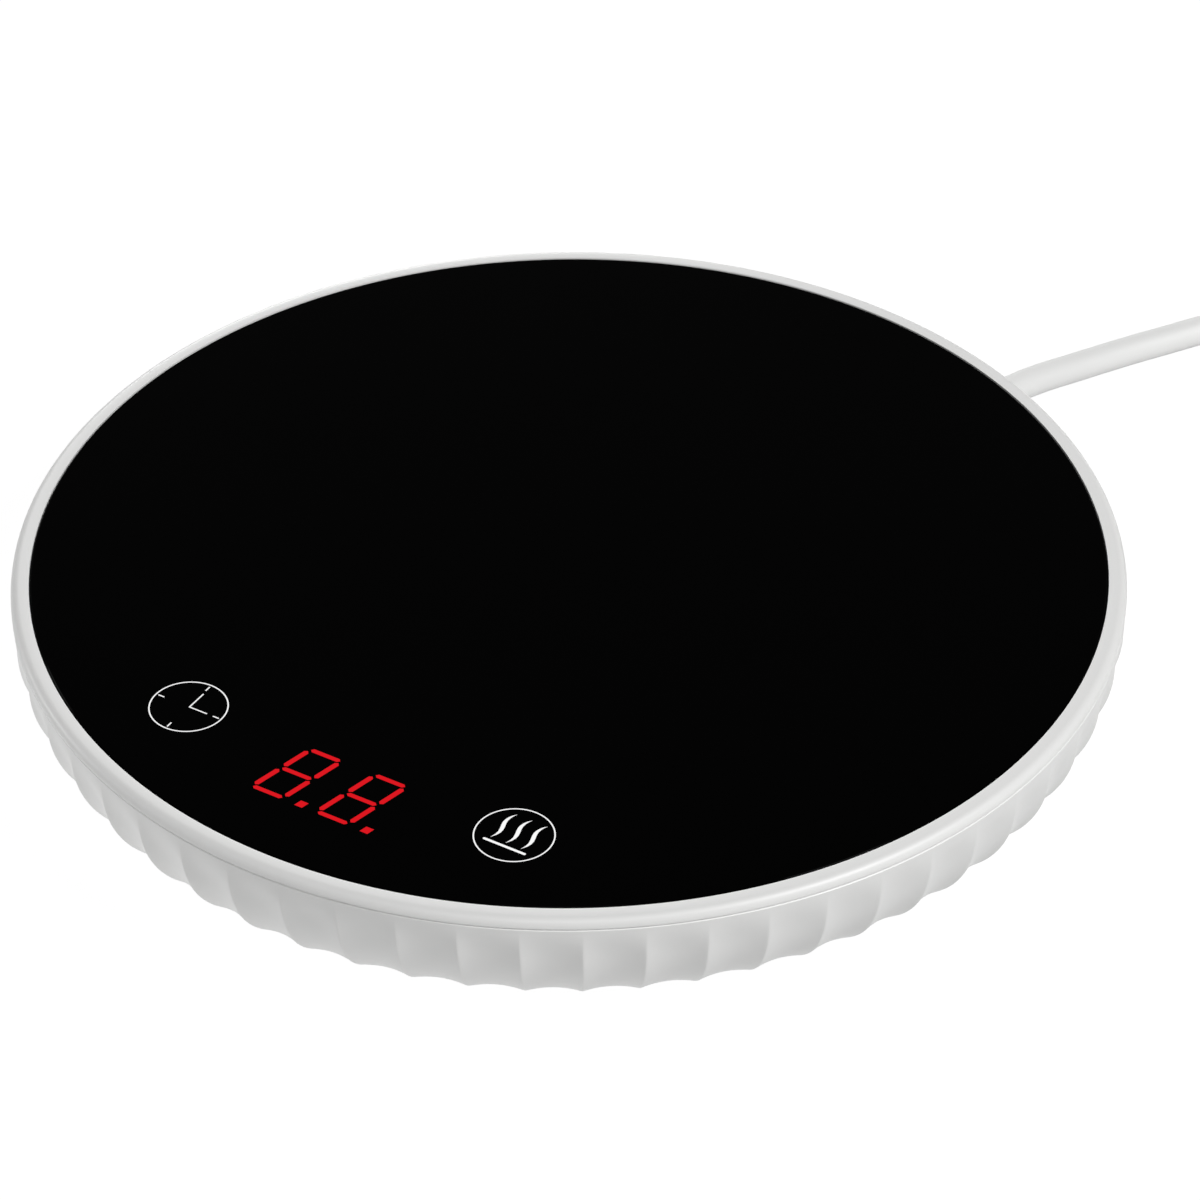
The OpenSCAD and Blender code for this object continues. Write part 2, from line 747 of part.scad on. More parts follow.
module control_board() {
  color("darkgreen") translate([0, 0, board_z]) difference() {
    intersection() {
      cylinder(h = board_t, r = board_front_r, $fn = 180);
      translate([-board_half_w, -body_r, 0])
        cube([2 * board_half_w, body_r - board_back_y, board_t]);
    }
    for (side = [-1, 1]) translate([side * board_screw_x, -board_screw_y, -cut])
      cylinder(h = board_t + 2 * cut, d = board_screw_d + 2 * screw_gap);
    at_angles(screw_angles, screw_r) translate([0, 0, -cut])
      cylinder(h = board_t + 2 * cut, d = tower_d + 2 * board_side_gap);
  }
}

module display_module() {
  color([0.1, 0.1, 0.1]) on_board([display_x, -digit_y]) block([display_w, display_d, display_h]);
}

// One lit segment, pointed at both ends, along X
module segment(length) {
  tip = segment_w / 2;
  polygon([
    [-length / 2, 0], [tip - length / 2, tip], [length / 2 - tip, tip],
    [length / 2, 0], [length / 2 - tip, -tip], [tip - length / 2, -tip]
  ]);
}

module digit() {
  across = 2 * digit_half_w - segment_gap;
  upright = digit_half_h - segment_gap;
  multmatrix([[1, digit_slant, 0, 0], [0, 1, 0, 0], [0, 0, 1, 0], [0, 0, 0, 1]]) {
    for (row = [-1, 0, 1]) translate([0, row * digit_half_h, 0]) segment(across);
    for (side = [-1, 1]) for (half = [-1, 1])
      translate([side * digit_half_w, half * digit_half_h / 2, 0]) rotate(90) segment(upright);
    translate([digit_half_w + point_gap, -digit_half_h + segment_w / 4, 0]) rotate(45)
      square(point_w, center = true);
  }
}

module display_segments() {
  color("red") translate([digit_x, -digit_y, board_top_z + display_h])
    linear_extrude(segment_t) {
      digit();
      translate([digit_pitch, 0, 0]) digit();
    }
}

module display_gasket() {
  color("black") on_board([display_x, -digit_y]) translate([0, 0, display_h]) difference() {
    block([display_w, display_d, gasket_t]);
    translate([0, 0, -cut])
      block([display_w - 2 * gasket_w, display_d - 2 * gasket_w, gasket_t + 2 * cut]);
  }
}

// A key spring: open coils between a closed ring on the board and one under the glass
module touch_springs() {
  coil_r = (spring_d - spring_wire_d) / 2;
  rise = glass_z - board_top_z - spring_wire_d;
  steps = 12;
  turns = spring_turns + 2;
  helix = [
    for (i = [0 : turns * steps])
      let (t = i / steps, climb = min(max(t - 1, 0), spring_turns) / spring_turns)
      [coil_r * cos(360 * t), coil_r * sin(360 * t),
       board_top_z + spring_wire_d / 2 + spring_wire_d * (min(t, 1) + max(t - turns + 1, 0))
       + (rise - 2 * spring_wire_d) * climb]
  ];
  color("gold") for (side = [-1, 1]) translate([side * key_x, -key_y, 0])
    tube(helix, spring_wire_d, 8);
}

module mcu_chip() {
  color([0.15, 0.15, 0.15]) on_board(mcu_at) {
    block([mcu_l, mcu_w, mcu_h]);
    for (i = [-3.5 : 3.5]) translate([i * pin_pitch, 0, 0]) block([pin_w, mcu_w + 2 * pin_l, pin_t]);
  }
}

module power_mosfet() {
  color([0.15, 0.15, 0.15]) on_board(mosfet_at) {
    block([mosfet_l, mosfet_w, mosfet_h]);
    translate([0, mosfet_w / 2, 0]) block([tab_w, 2 * pin_l, tab_t]);
    for (side = [-1, 1]) translate([side * (mosfet_l / 2 - pin_l), -mosfet_w / 2, 0])
      block([2 * pin_w, 4 * pin_l, tab_t]);
  }
}

module filter_capacitor() {
  color(steel) on_board(capacitor_at) {
    block([capacitor_d + pin_w, capacitor_d + pin_w, tab_t]);
    cylinder(h = capacitor_h, d = capacitor_d);
  }
}

module chip_resistors() {
  color("black") for (i = [-2 : 2]) on_board([resistors_at.x + i * resistor_pitch, resistors_at.y])
    rotate(90) block([resistor_l, resistor_w, resistor_h]);
}

module buzzer() {
  color([0.1, 0.1, 0.1]) on_board(buzzer_at) difference() {
    cylinder(h = buzzer_h, d = buzzer_d);
    translate([0, 0, buzzer_h - sound_hole_h]) cylinder(h = sound_hole_h + cut, d = sound_hole_d);
  }
}

module board_connectors() {
  color("ivory") for (at = [power_plug_at, sensor_plug_at, heater_plug_at])
    on_board(at) block([connector_l, connector_w, connector_h]);
}

module board_screws() {
  tip_z = floor_z + boss_roof + tip_gap;
  color(steel) for (side = [-1, 1]) translate([side * board_screw_x, -board_screw_y, 0]) {
    translate([0, 0, board_top_z]) cylinder(h = board_head_h, d = board_head_d);
    translate([0, 0, tip_z]) cylinder(h = board_top_z - tip_z, d = board_screw_d);
  }
}

// ---- Wires ----

// The point a share of the way from one place to another in plan, at a given height
function between(from, to, share, z) =
  [from.x + share * (to.x - from.x), from.y + share * (to.y - from.y), z];

// Where a wire leaves a connector on the side that faces the middle, one of a pair
function socket(at, side) = [at.x + side * wire_pitch / 2, at.y + connector_w / 2, wire_z];

// A wire that runs straight out of a connector and then sags along the carrier's underside
// to the hole below the point where it ends
function hanging(from, to) =
  let (out = from + [0, wire_run, 0], entry = [to.x, to.y, hang_z + wire_drop / 2])
  [from, out, between(out, entry, 0.35, hang_z), between(out, entry, 0.75, hang_z), entry,
   [to.x, to.y, carrier_z], to];

// From the connector to one terminal of the heater, from the connector to the fuse, and from
// the fuse back to the other terminal
module heater_wires() {
  near = [terminal_pitch / 2, -fuse_y, film_z];
  far = [-terminal_pitch / 2, -fuse_y, film_z];
  fuse_in = [fuse_l / 2 - heater_wire_d, fuse_y, film_z - fuse_h];
  fuse_out = [heater_wire_d - fuse_l / 2, fuse_y, film_z - fuse_h];
  rise = hang_z + wire_drop / 2;
  color("white") {
    tube(hanging(socket(heater_plug_at, -1), near), heater_wire_d, 6);
    tube(hanging(socket(heater_plug_at, 1), fuse_in), heater_wire_d, 6);
    tube([
      fuse_out, [fuse_out.x, fuse_y, carrier_z], [fuse_out.x, fuse_y, rise],
      between(fuse_out, far, 0.25, hang_z), between(fuse_out, far, 0.75, hang_z),
      [far.x, far.y, rise], [far.x, far.y, carrier_z], far
    ], heater_wire_d, 6);
  }
}

module sensor_wires() {
  color("gray") for (side = [-1, 1])
    let (from = socket(sensor_plug_at, side), to = [side * bead_d / 3, 0, film_z - bead_d])
    tube([
      from, from + [0, wire_run, 0], between(from, to, 0.5, wire_z), between(from, to, 0.8, hang_z),
      [to.x, to.y, carrier_z], to
    ], sensor_wire_d, 6);
}

// From the lead's inner end, low across the floor, up to the board
module power_wires() {
  side_step = [-sin(cord_angle), cos(cord_angle), 0];
  end = tail_r * cord_out + [0, 0, cord_z];
  low_z = floor_z + wire_lift;
  for (side = [-1, 1]) color(side < 0 ? "black" : "red")
    let (from = end - side * cord_d / 4 * side_step, to = socket(power_plug_at, side),
         below = [to.x, to.y + 2 * wire_run, low_z])
    tube([
      from, from - wire_run * cord_out, between(from, below, 0.3, low_z),
      between(from, below, 0.6, low_z), between(from, below, 0.85, low_z), below,
      to + [0, wire_run, -wire_lift / 2], to
    ], power_wire_d, 6);
}

// ---- Lead ----

module cord_grommet() {
  color(white) difference() {
    union() {
      along_cord(bush_seat_r - bush_flange_t) cylinder(h = bush_flange_t, d = bush_flange_d);
      along_cord(bush_seat_r) cylinder(h = body_r - bush_taper - bush_seat_r, d = bush_d);
      along_cord(body_r - bush_taper) cylinder(h = bush_taper, d1 = bush_d, d2 = bush_tip_d);
    }
    along_cord(tail_r) cylinder(h = body_r, d = cord_d + 2 * cord_gap);
  }
}

module cord_tail() {
  color(white) along_cord(tail_r) cylinder(h = body_r - tail_r, d = cord_d);
}

module cord_clamp() {
  color(white) difference() {
    rotate(cord_angle) translate([clamp_r, 0, cord_z + clamp_gap / 2])
      block([clamp_w, clamp_l, clamp_h]);
    along_cord(clamp_r - clamp_w) cylinder(h = 2 * clamp_w, d = cord_d + 2 * cord_gap);
    clamp_screw_places() cylinder(h = body_h, d = board_screw_d + 2 * screw_gap);
  }
}

module clamp_screws() {
  top_z = cord_z + clamp_gap / 2 + clamp_h;
  color(steel) clamp_screw_places() {
    translate([0, 0, top_z]) cylinder(h = board_head_h, d = board_head_d);
    translate([0, 0, top_z - clamp_screw_l]) cylinder(h = clamp_screw_l, d = board_screw_d);
  }
}

module cord_lead() {
  color(white) translate(cord_shift) tube(lead_points, cord_d, 8);
}

module cord_end() {
  color(white) translate(cord_shift) tube(end_points, cord_d, 8);
}

// The outline of the coil's bundle of turns, with round corners
module coil_outline(grow) {
  w = coil_turns * cord_d + 2 * grow;
  h = coil_layers * cord_d + 2 * grow;
  round_r = cord_d / 2 + grow;
  translate([coil_mean_r, tie_t + coil_layers * cord_d / 2]) {
    square([w - 2 * round_r, h], center = true);
    square([w, h - 2 * round_r], center = true);
    for (x = [-1, 1]) for (y = [-1, 1])
      translate([x * (w / 2 - round_r), y * (h / 2 - round_r)]) circle(round_r, $fn = 32);
  }
}

module cord_coil() {
  color(white) translate(cord_shift + coil_at) rotate_extrude() coil_outline(0);
}

module cord_tie() {
  color("black") translate(cord_shift + coil_at) for (a = tie_angles) rotate(a)
    translate([0, tie_w / 2, 0]) rotate([90, 0, 0]) linear_extrude(tie_w) difference() {
      coil_outline(tie_t);
      coil_outline(tie_gap);
    }
}

// ---- Plug ----

module plug_body() {
  color(white) translate(cord_shift + [plug_x, 0, plug_z]) rotate([90, 0, 0]) {
    translate([0, 0, plug_tail_l - plug_rear_y]) linear_extrude(plug_l) plug_outline();
    translate([0, 0, -plug_rear_y]) plug_tail();
  }
}

module plug_outline() {
  square([plug_w - 2 * plug_corner_r, plug_h], center = true);
  square([plug_w, plug_h - 2 * plug_corner_r], center = true);
  for (x = [-1, 1]) for (y = [-1, 1])
    translate([x * (plug_w / 2 - plug_corner_r), y * (plug_h / 2 - plug_corner_r)])
      circle(plug_corner_r, $fn = 32);
}

// The tapered tail, with grooves that leave a thin skin round the lead so that it bends
module plug_tail() {
  difference() {
    cylinder(h = plug_tail_l, d1 = plug_tail_d, d2 = plug_h - 2 * tail_step);
    for (i = [1 : groove_count])
      translate([0, 0, i * plug_tail_l / (groove_count + 1) - groove_w / 2]) difference() {
        cylinder(h = groove_w, d = plug_h);
        translate([0, 0, -cut]) cylinder(h = groove_w + 2 * cut, d = cord_d + 2 * groove_skin);
      }
  }
}

module plug_shell() {
  color(steel) translate(cord_shift + [plug_x, nose_y, plug_z]) difference() {
    translate([-plug_shell_w / 2, 0, -plug_shell_h / 2])
      cube([plug_shell_w, plug_shell_l, plug_shell_h]);
    translate([-plug_in_x / 2, -cut, -plug_in_z / 2])
      cube([plug_in_x, plug_shell_l - plug_shell_t + cut, plug_in_z]);
    for (x = [-1, 1]) for (side = [-1, 1])
      translate([x * window_x, window_y + window_w / 2, side * plug_shell_h / 2 - window_w / 2])
        block([window_w, window_w, window_w]);
  }
}

module plug_tongue() {
  wide = plug_in_x - 2 * tongue_gap;
  color("black") translate(cord_shift)
    translate([plug_x - wide / 2, nose_y + tongue_set_back, plug_z - plug_in_z / 2])
      cube([wide, plug_shell_l - plug_shell_t - tongue_set_back, tongue_t]);
}

// A pair of contacts on the tongue, one to each side of its middle
module contact_pair(x, long) {
  for (side = [-1, 1])
    translate([plug_x + side * x - contact_w / 2, nose_y + tongue_set_back + contact_w,
               plug_z - plug_in_z / 2 + tongue_t])
      cube([contact_w, long, contact_t]);
}

module plug_contacts() {
  color("gold") translate(cord_shift) {
    contact_pair(inner_contact_x, inner_contact_l);
    contact_pair(outer_contact_x, outer_contact_l);
  }
}

glass_panel();
panel_adhesive();
top_frame();
base_shell();
rubber_feet();
housing_screws();
heat_spreader();
heater_film();
insulation_pad();
heater_carrier();
thermistor();
thermal_fuse();
control_board();
display_module();
display_segments();
display_gasket();
touch_springs();
mcu_chip();
power_mosfet();
filter_capacitor();
chip_resistors();
buzzer();
board_connectors();
board_screws();
heater_wires();
sensor_wires();
power_wires();
cord_grommet();
cord_tail();
cord_clamp();
clamp_screws();
cord_lead();
cord_coil();
cord_end();
cord_tie();
plug_body();
plug_shell();
plug_tongue();
plug_contacts();
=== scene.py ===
"""Looks of an electric mug warmer: black glass in a white rim, on a fluted white shell.

Sizes are written in millimetres and turned to metres by MM. +Z is up, -Y is the user's side.
"""
import json
import math

import bmesh
import bpy
from mathutils import Matrix, Vector


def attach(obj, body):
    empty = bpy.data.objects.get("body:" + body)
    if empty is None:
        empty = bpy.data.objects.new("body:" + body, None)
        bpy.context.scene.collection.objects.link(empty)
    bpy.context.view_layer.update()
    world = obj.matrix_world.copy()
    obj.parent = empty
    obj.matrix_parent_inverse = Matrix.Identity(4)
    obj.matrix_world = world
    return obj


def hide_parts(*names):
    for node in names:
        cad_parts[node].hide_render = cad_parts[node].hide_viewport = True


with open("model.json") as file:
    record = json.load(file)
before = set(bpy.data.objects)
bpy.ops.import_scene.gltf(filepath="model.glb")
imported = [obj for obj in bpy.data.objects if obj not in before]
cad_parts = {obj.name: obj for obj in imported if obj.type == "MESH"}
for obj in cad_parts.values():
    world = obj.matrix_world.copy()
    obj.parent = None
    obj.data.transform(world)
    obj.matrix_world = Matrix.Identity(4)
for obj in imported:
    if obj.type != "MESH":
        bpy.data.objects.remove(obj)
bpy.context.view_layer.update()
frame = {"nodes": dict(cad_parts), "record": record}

MM = 0.001
JOINED = 0.0005           # points closer than this become one


# ---- Sizes, as the solids have them apart from the seam and the flutes ----

BODY_R = 60
BODY_H = 17
FOOT_GAP = 1
RIM_W = 2
RIM_H = 1.15
RIM_ROUND = 1.0
SEAM = 0.08               # the line shows finer than the 0.15 that the solids leave
GLASS_GAP = 0.1
GLASS_T = 3
LEDGE_T = 1.5
TAPE_T = 0.3
LIP_T = 1.15
LAP_GAP = 0.1
WALL = 2.2
FLOOR_T = 1.8
SIDE_ARC_R = 14.1
SIDE_ARC_Z = 14.1

FLUTES = 60
FLUTE_START = 3           # angle of the first edge between two flutes
FLUTE_DEPTH = 0.62        # the solids' flutes are 0.55 deep from top to bottom
FLUTE_FADE = 4.5          # height under the rim over which the flutes reach that depth
FLUTE_STEPS = 18
SIDE_ROWS = 28
EDGE_SOFT = 0.05          # share of half a flute that its edge is rounded over

CORD_D = 3.5
CORD_ANGLE = 73
CORD_Z = 6.5


# ---- Camera: a long lens from the front right, 37 degrees above the table ----

CAMERA_AT = Vector((221.739, -354.856, 330.280)) * MM
CAMERA_AIM = Vector((7.078, -5.168, 17.0)) * MM
CAMERA_ROLL = -0.004517
CAMERA_LENS = 145.465


def new_object(name, data):
    """An object in the scene."""
    item = bpy.data.objects.new(name, data)
    bpy.context.collection.objects.link(item)
    return item


def set_camera():
    """The camera that the scene is seen through."""
    data = bpy.data.cameras.new("camera")
    data.lens = CAMERA_LENS
    data.sensor_width = 36
    data.clip_start = 0.01
    data.clip_end = 20
    camera = new_object("camera", data)
    look = (CAMERA_AIM - CAMERA_AT).to_track_quat("-Z", "Y").to_matrix().to_4x4()
    roll = Matrix.Rotation(CAMERA_ROLL, 4, "Z")
    camera.matrix_world = Matrix.Translation(CAMERA_AT) @ look @ roll
    bpy.context.scene.camera = camera


set_camera()


# ---- Materials ----

def linear(hex_colour):
    """The linear colour of an sRGB hex value."""
    channels = [int(hex_colour[i:i + 2], 16) / 255 for i in (1, 3, 5)]
    return [c / 12.92 if c <= 0.04045 else ((c + 0.055) / 1.055) ** 2.4 for c in channels] + [1.0]


def add(tree, kind, settings=None, inputs=None):
    """Adds a node: settings are its properties, and inputs its sockets' values or the sockets that
    they link to."""
    new = tree.nodes.new(kind)
    for name, value in (settings or {}).items():
        setattr(new, name, value)
    for name, value in (inputs or {}).items():
        if isinstance(value, bpy.types.NodeSocket):
            tree.links.new(value, new.inputs[name])
        else:
            new.inputs[name].default_value = value
    return new


def new_material(name):
    """An empty material's tree and its output."""
    material = bpy.data.materials.new(name)
    material.use_nodes = True
    tree = material.node_tree
    tree.nodes.clear()
    return material, tree, add(tree, "ShaderNodeOutputMaterial")


def moulded(name, light, dark, roughness, ior, grain, relief, cloud=18.0):
    """A moulded polymer. Its colour drifts between light and dark over clouds of cloud mm, and its
    skin has the tool's texture: grains of grain mm that stand relief mm high."""
    material, tree, output = new_material(name)
    place = add(tree, "ShaderNodeTexCoord")
    drift = add(tree, "ShaderNodeTexNoise", {}, {
        "Vector": place.outputs["Object"], "Scale": 1 / (cloud * MM), "Detail": 2.0})
    colour = add(tree, "ShaderNodeMix", {"data_type": "RGBA"}, {
        0: drift.outputs["Fac"], 6: linear(light), 7: linear(dark)})
    texture = add(tree, "ShaderNodeTexNoise", {}, {
        "Vector": place.outputs["Object"], "Scale": 1 / (grain * MM), "Detail": 3.0})
    bump = add(tree, "ShaderNodeBump", {}, {
        "Strength": 1.0, "Distance": relief * MM, "Height": texture.outputs["Fac"]})
    shader = add(tree, "ShaderNodeBsdfPrincipled", {}, {
        "Base Color": colour.outputs[2], "Roughness": roughness, "IOR": ior,
        "Normal": bump.outputs["Normal"]})
    tree.links.new(shader.outputs[0], output.inputs["Surface"])
    return material


def metal(name, colour, roughness, stroke, across=0.05, relief=0.002):
    """A worked metal: strokes of stroke mm long and across mm wide along X, relief mm deep."""
    material, tree, output = new_material(name)
    place = add(tree, "ShaderNodeTexCoord")
    stretch = add(tree, "ShaderNodeMapping", {}, {
        "Vector": place.outputs["Object"],
        "Scale": (1 / (stroke * MM), 1 / (across * MM), 1 / (across * MM))})
    lines = add(tree, "ShaderNodeTexNoise", {}, {
        "Vector": stretch.outputs[0], "Scale": 1.0, "Detail": 3.0})
    finish = add(tree, "ShaderNodeMapRange", {}, {
        "Value": lines.outputs["Fac"], "To Min": roughness * 0.8, "To Max": roughness * 1.25})
    bump = add(tree, "ShaderNodeBump", {}, {
        "Strength": 1.0, "Distance": relief * MM, "Height": lines.outputs["Fac"]})
    shader = add(tree, "ShaderNodeBsdfPrincipled", {}, {
        "Base Color": linear(colour), "Metallic": 1.0, "Roughness": finish.outputs[0],
        "Normal": bump.outputs["Normal"]})
    tree.links.new(shader.outputs[0], output.inputs["Surface"])
    return material


def toughened_glass():
    """Toughened glass printed black on its back. The eye sees the print, with hardly any sheen, and
    wiping leaves soft patches that are a little less clear."""
    material, tree, output = new_material("toughened_glass")
    place = add(tree, "ShaderNodeTexCoord")
    wiped = add(tree, "ShaderNodeTexNoise", {}, {
        "Vector": place.outputs["Object"], "Scale": 1 / (22 * MM), "Detail": 4.0, "Roughness": 0.6})
    clear = add(tree, "ShaderNodeMapRange", {}, {
        "Value": wiped.outputs["Fac"], "To Min": 0.05, "To Max": 0.12})
    shader = add(tree, "ShaderNodeBsdfPrincipled", {}, {
        "Base Color": linear("#010101"), "Roughness": clear.outputs[0], "IOR": 1.52,
        "Specular IOR Level": 0.005})
    tree.links.new(shader.outputs[0], output.inputs["Surface"])
    return material


def glowing(name, colour, strength, body):
    """A mark that gives its own light: truly lit for the red segments, painted light for the white
    print.
    """
    material, tree, output = new_material(name)
    place = add(tree, "ShaderNodeTexCoord")
    uneven = add(tree, "ShaderNodeTexNoise", {}, {
        "Vector": place.outputs["Object"], "Scale": 1 / (1.5 * MM), "Detail": 1.0})
    finish = add(tree, "ShaderNodeMapRange", {}, {
        "Value": uneven.outputs["Fac"], "To Min": 0.45, "To Max": 0.6})
    shader = add(tree, "ShaderNodeBsdfPrincipled", {}, {
        "Base Color": linear(body), "Roughness": finish.outputs[0], "Specular IOR Level": 0.01,
        "Emission Color": linear(colour), "Emission Strength": strength})
    tree.links.new(shader.outputs[0], output.inputs["Surface"])
    return material


# ABS from a lightly spark-eroded mould: white, satin, with soft broken highlights
WHITE_ABS = moulded("white_abs", "#EBEBEA", "#E8E8E7", 0.42, 1.54, 0.3, 0.0015)
# Thermoplastic elastomer, extruded: the lead's jacket, smoother and softer than the body
WHITE_TPE = moulded("white_tpe", "#F0F0EF", "#ECECEB", 0.5, 1.5, 0.6, 0.003)
# Silicone rubber, moulded: grey and dull
GREY_SILICONE = moulded("grey_silicone", "#8C8E90", "#7E8082", 0.75, 1.42, 0.5, 0.01)
# Closed-cell foam and acrylic tape: black, fully dull
BLACK_FOAM = moulded("black_foam", "#161616", "#202020", 0.9, 1.5, 0.25, 0.03)
# Woven hook tape round the coil: black, dull
BLACK_NYLON = moulded("black_nylon", "#1B1B1C", "#262627", 0.8, 1.53, 0.35, 0.05)
# Filled epoxy of chips and relays: near black, slightly satin
BLACK_EPOXY = moulded("black_epoxy", "#1A1A1B", "#222223", 0.55, 1.55, 0.12, 0.004)
# Nylon 66 of connectors: ivory, satin
IVORY_NYLON = moulded("ivory_nylon", "#E4DFC9", "#DAD4BC", 0.5, 1.53, 0.4, 0.004)
# Glass-fibre board under solder mask: green, smooth, with the weave faintly showing
SOLDER_MASK = moulded("solder_mask", "#14532D", "#104626", 0.35, 1.5, 0.5, 0.006)
# Polyimide film over etched foil: amber, glossy
POLYIMIDE = moulded("polyimide", "#B4691E", "#9C5716", 0.25, 1.7, 1.2, 0.004)
# Pressed ceramic fibre: off-white, soft
CERAMIC_FIBRE = moulded("ceramic_fibre", "#E6E2D6", "#D8D3C4", 0.95, 1.5, 0.8, 0.06)
# Silicone-covered copper wire
WHITE_SILICONE = moulded("white_silicone", "#E9E9E7", "#DDDDDB", 0.6, 1.42, 0.5, 0.004)
DARK_SILICONE = moulded("dark_silicone", "#262628", "#303033", 0.6, 1.42, 0.5, 0.004)
# Steel with a bright zinc coat, stamped and turned
ZINC_STEEL = metal("zinc_steel", "#C9CCCF", 0.3, 2.0)
# Rolled aluminium sheet
ROLLED_ALUMINIUM = metal("rolled_aluminium", "#D5D6D8", 0.35, 8.0)
# Nickel-plated steel, drawn: the plug's shell
NICKEL_STEEL = metal("nickel_steel", "#C6C5C2", 0.22, 4.0)
# Gold over nickel on contacts and springs
GOLD_PLATE = metal("gold_plate", "#E1B765", 0.25, 1.0)
TOUGHENED_GLASS = toughened_glass()
# White ceramic ink drawn with painted light: a dark body that glows white, whatever the lamps do
PAINTED_GLOW_INK = glowing("painted_glow_ink", "#FFFFFF", 0.95, "#202020")
# Red LED segments behind the glass
LIT_RED = glowing("lit_red", "#E0101B", 0.95, "#140001")

NODE_FINISH = {
    "white_plastic": WHITE_ABS,
    "black_glass": TOUGHENED_GLASS,
    "grey_rubber": GREY_SILICONE,
    "white_cord": WHITE_TPE,
    "black_foam": BLACK_FOAM,
    "zinc_steel": ZINC_STEEL,
    "spreader_aluminium": ROLLED_ALUMINIUM,
    "heater_foil": POLYIMIDE,
    "fibre_pad": CERAMIC_FIBRE,
    "black_epoxy": BLACK_EPOXY,
    "board_green": SOLDER_MASK,
    "lit_red": LIT_RED,
    "connector_ivory": IVORY_NYLON,
    "gold_contact": GOLD_PLATE,
    "wire_white": WHITE_SILICONE,
    "wire_dark": DARK_SILICONE,
    "nickel_shell": NICKEL_STEEL,
}


def dress_cad_nodes():
    """Gives every CAD node the finish of its slot."""
    slot_of = {part["node"]: part["material_slot"] for part in frame["record"]["subparts"]}
    for name, item in frame["nodes"].items():
        item.data.materials.clear()
        item.data.materials.append(NODE_FINISH[slot_of[name]])


dress_cad_nodes()


# ---- Helpers for shapes ----

def finish_piece(shape, name, materials, sharp=35):
    """Turns a bmesh in millimetres into an object that rides on the body."""
    bmesh.ops.remove_doubles(shape, verts=shape.verts, dist=JOINED)
    bmesh.ops.recalc_face_normals(shape, faces=shape.faces)
    bmesh.ops.scale(shape, vec=(MM, MM, MM), verts=shape.verts)
    mesh = bpy.data.meshes.new(name)
    shape.to_mesh(mesh)
    shape.free()
    for material in materials:
        mesh.materials.append(material)
    mesh.shade_smooth()
    mesh.set_sharp_from_angle(angle=math.radians(sharp))
    piece = new_object(name, mesh)
    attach(piece, "root")
    return piece


def draw_profile(shape, points, closed, centre=(0, 0)):
    """A line of edges through (radius, height) points, upright and along X from the centre."""
    verts = [shape.verts.new((centre[0] + r, centre[1], z)) for r, z in points]
    edges = [shape.edges.new(pair) for pair in zip(verts, verts[1:])]
    if closed:
        edges.append(shape.edges.new((verts[-1], verts[0])))
    return verts + edges


def turn(shape, points, closed=False, steps=240, centre=(0, 0)):
    """Turns a profile a full circle about an upright axis."""
    geometry = draw_profile(shape, points, closed, centre)
    bmesh.ops.spin(shape, geom=geometry, cent=(*centre, 0), axis=(0, 0, 1), angle=2 * math.pi,
                   steps=steps, use_merge=True)


def arc(centre, radius, start, end, steps):
    """Points along an arc, angles in degrees."""
    angles = [math.radians(start + (end - start) * i / steps) for i in range(steps + 1)]
    return [(centre[0] + radius * math.cos(a), centre[1] + radius * math.sin(a)) for a in angles]


def extrude_loop(shape, edges, place):
    """Extrudes a loop of edges and moves each new vertex to place(vertex)."""
    new = bmesh.ops.extrude_edge_only(shape, edges=edges)["geom"]
    for vert in (g for g in new if isinstance(g, bmesh.types.BMVert)):
        vert.co = place(vert.co)
    return [g for g in new if isinstance(g, bmesh.types.BMEdge)]


def turn_verts(shape, verts, angle):
    """Turns vertices about the body's axis by an angle in degrees."""
    bmesh.ops.rotate(shape, cent=(0, 0, 0), matrix=Matrix.Rotation(math.radians(angle), 3, "Z"),
                     verts=verts)


def round_edges(shape, edges, radius, segments=4):
    """Rounds edges off."""
    bmesh.ops.bevel(shape, geom=edges, offset=radius, segments=segments, profile=0.5,
                    affect="EDGES", material=-1)


def edges_of(verts):
    """The edges of a ring of vertices, each once and in the ring's order."""
    return list(dict.fromkeys(edge for vert in verts for edge in vert.link_edges))


def box(shape, low, high, turned=0):
    """A block between two corners, turned about the centre by an angle in degrees."""
    verts = bmesh.ops.create_cube(shape, size=1)["verts"]
    bmesh.ops.scale(shape, vec=[b - a for a, b in zip(low, high)], verts=verts)
    bmesh.ops.translate(shape, vec=[(a + b) / 2 for a, b in zip(low, high)], verts=verts)
    turn_verts(shape, verts, turned)


def polar(radius, angle):
    """The (x, y) place at a radius and an angle in degrees."""
    return radius * math.cos(math.radians(angle)), radius * math.sin(math.radians(angle))


def at_radius(point, radius, height):
    """The point moved along its own direction from the axis."""
    flat = Vector((point.x, point.y, 0)).normalized() * radius
    return Vector((flat.x, flat.y, height))


# ---- Glass and rim ----

GLASS_Z = BODY_H - GLASS_T
GLASS_R = BODY_R - RIM_W - GLASS_GAP
OPENING_R = BODY_R - RIM_W
SPLIT_Z = BODY_H - RIM_H
LEDGE_Z = GLASS_Z - TAPE_T
SHOULDER_Z = LEDGE_Z - LEDGE_T
SHELL_TOP_Z = SPLIT_Z - SEAM
LEDGE_IN_R = 52.5
TAPE_W = 4
CARRIER_Z = 10
CARRIER_T = 0.8
FLOOR_Z = FOOT_GAP + FLOOR_T
SCREW_R = 46
SCREW_ANGLES = (30, 150, 210, 330)
SCREW_HOLE_R = 1.45
BOSS_HOLE_R = 1.33        # the screw's tip bites in it
BLIND_END = 0.6           # plastic left at the end of a blind hole
SUNK = 0.05               # how far features are sunk into what carries them
ROUND_STEPS = 40          # sides of a small round feature
DISC_STEPS = 64           # sides of the feet and of the plug's tail
TOWER_R = 3.5
WELL_R = 2.7
WELL_DEPTH = 2.4
FOOT_R = 41
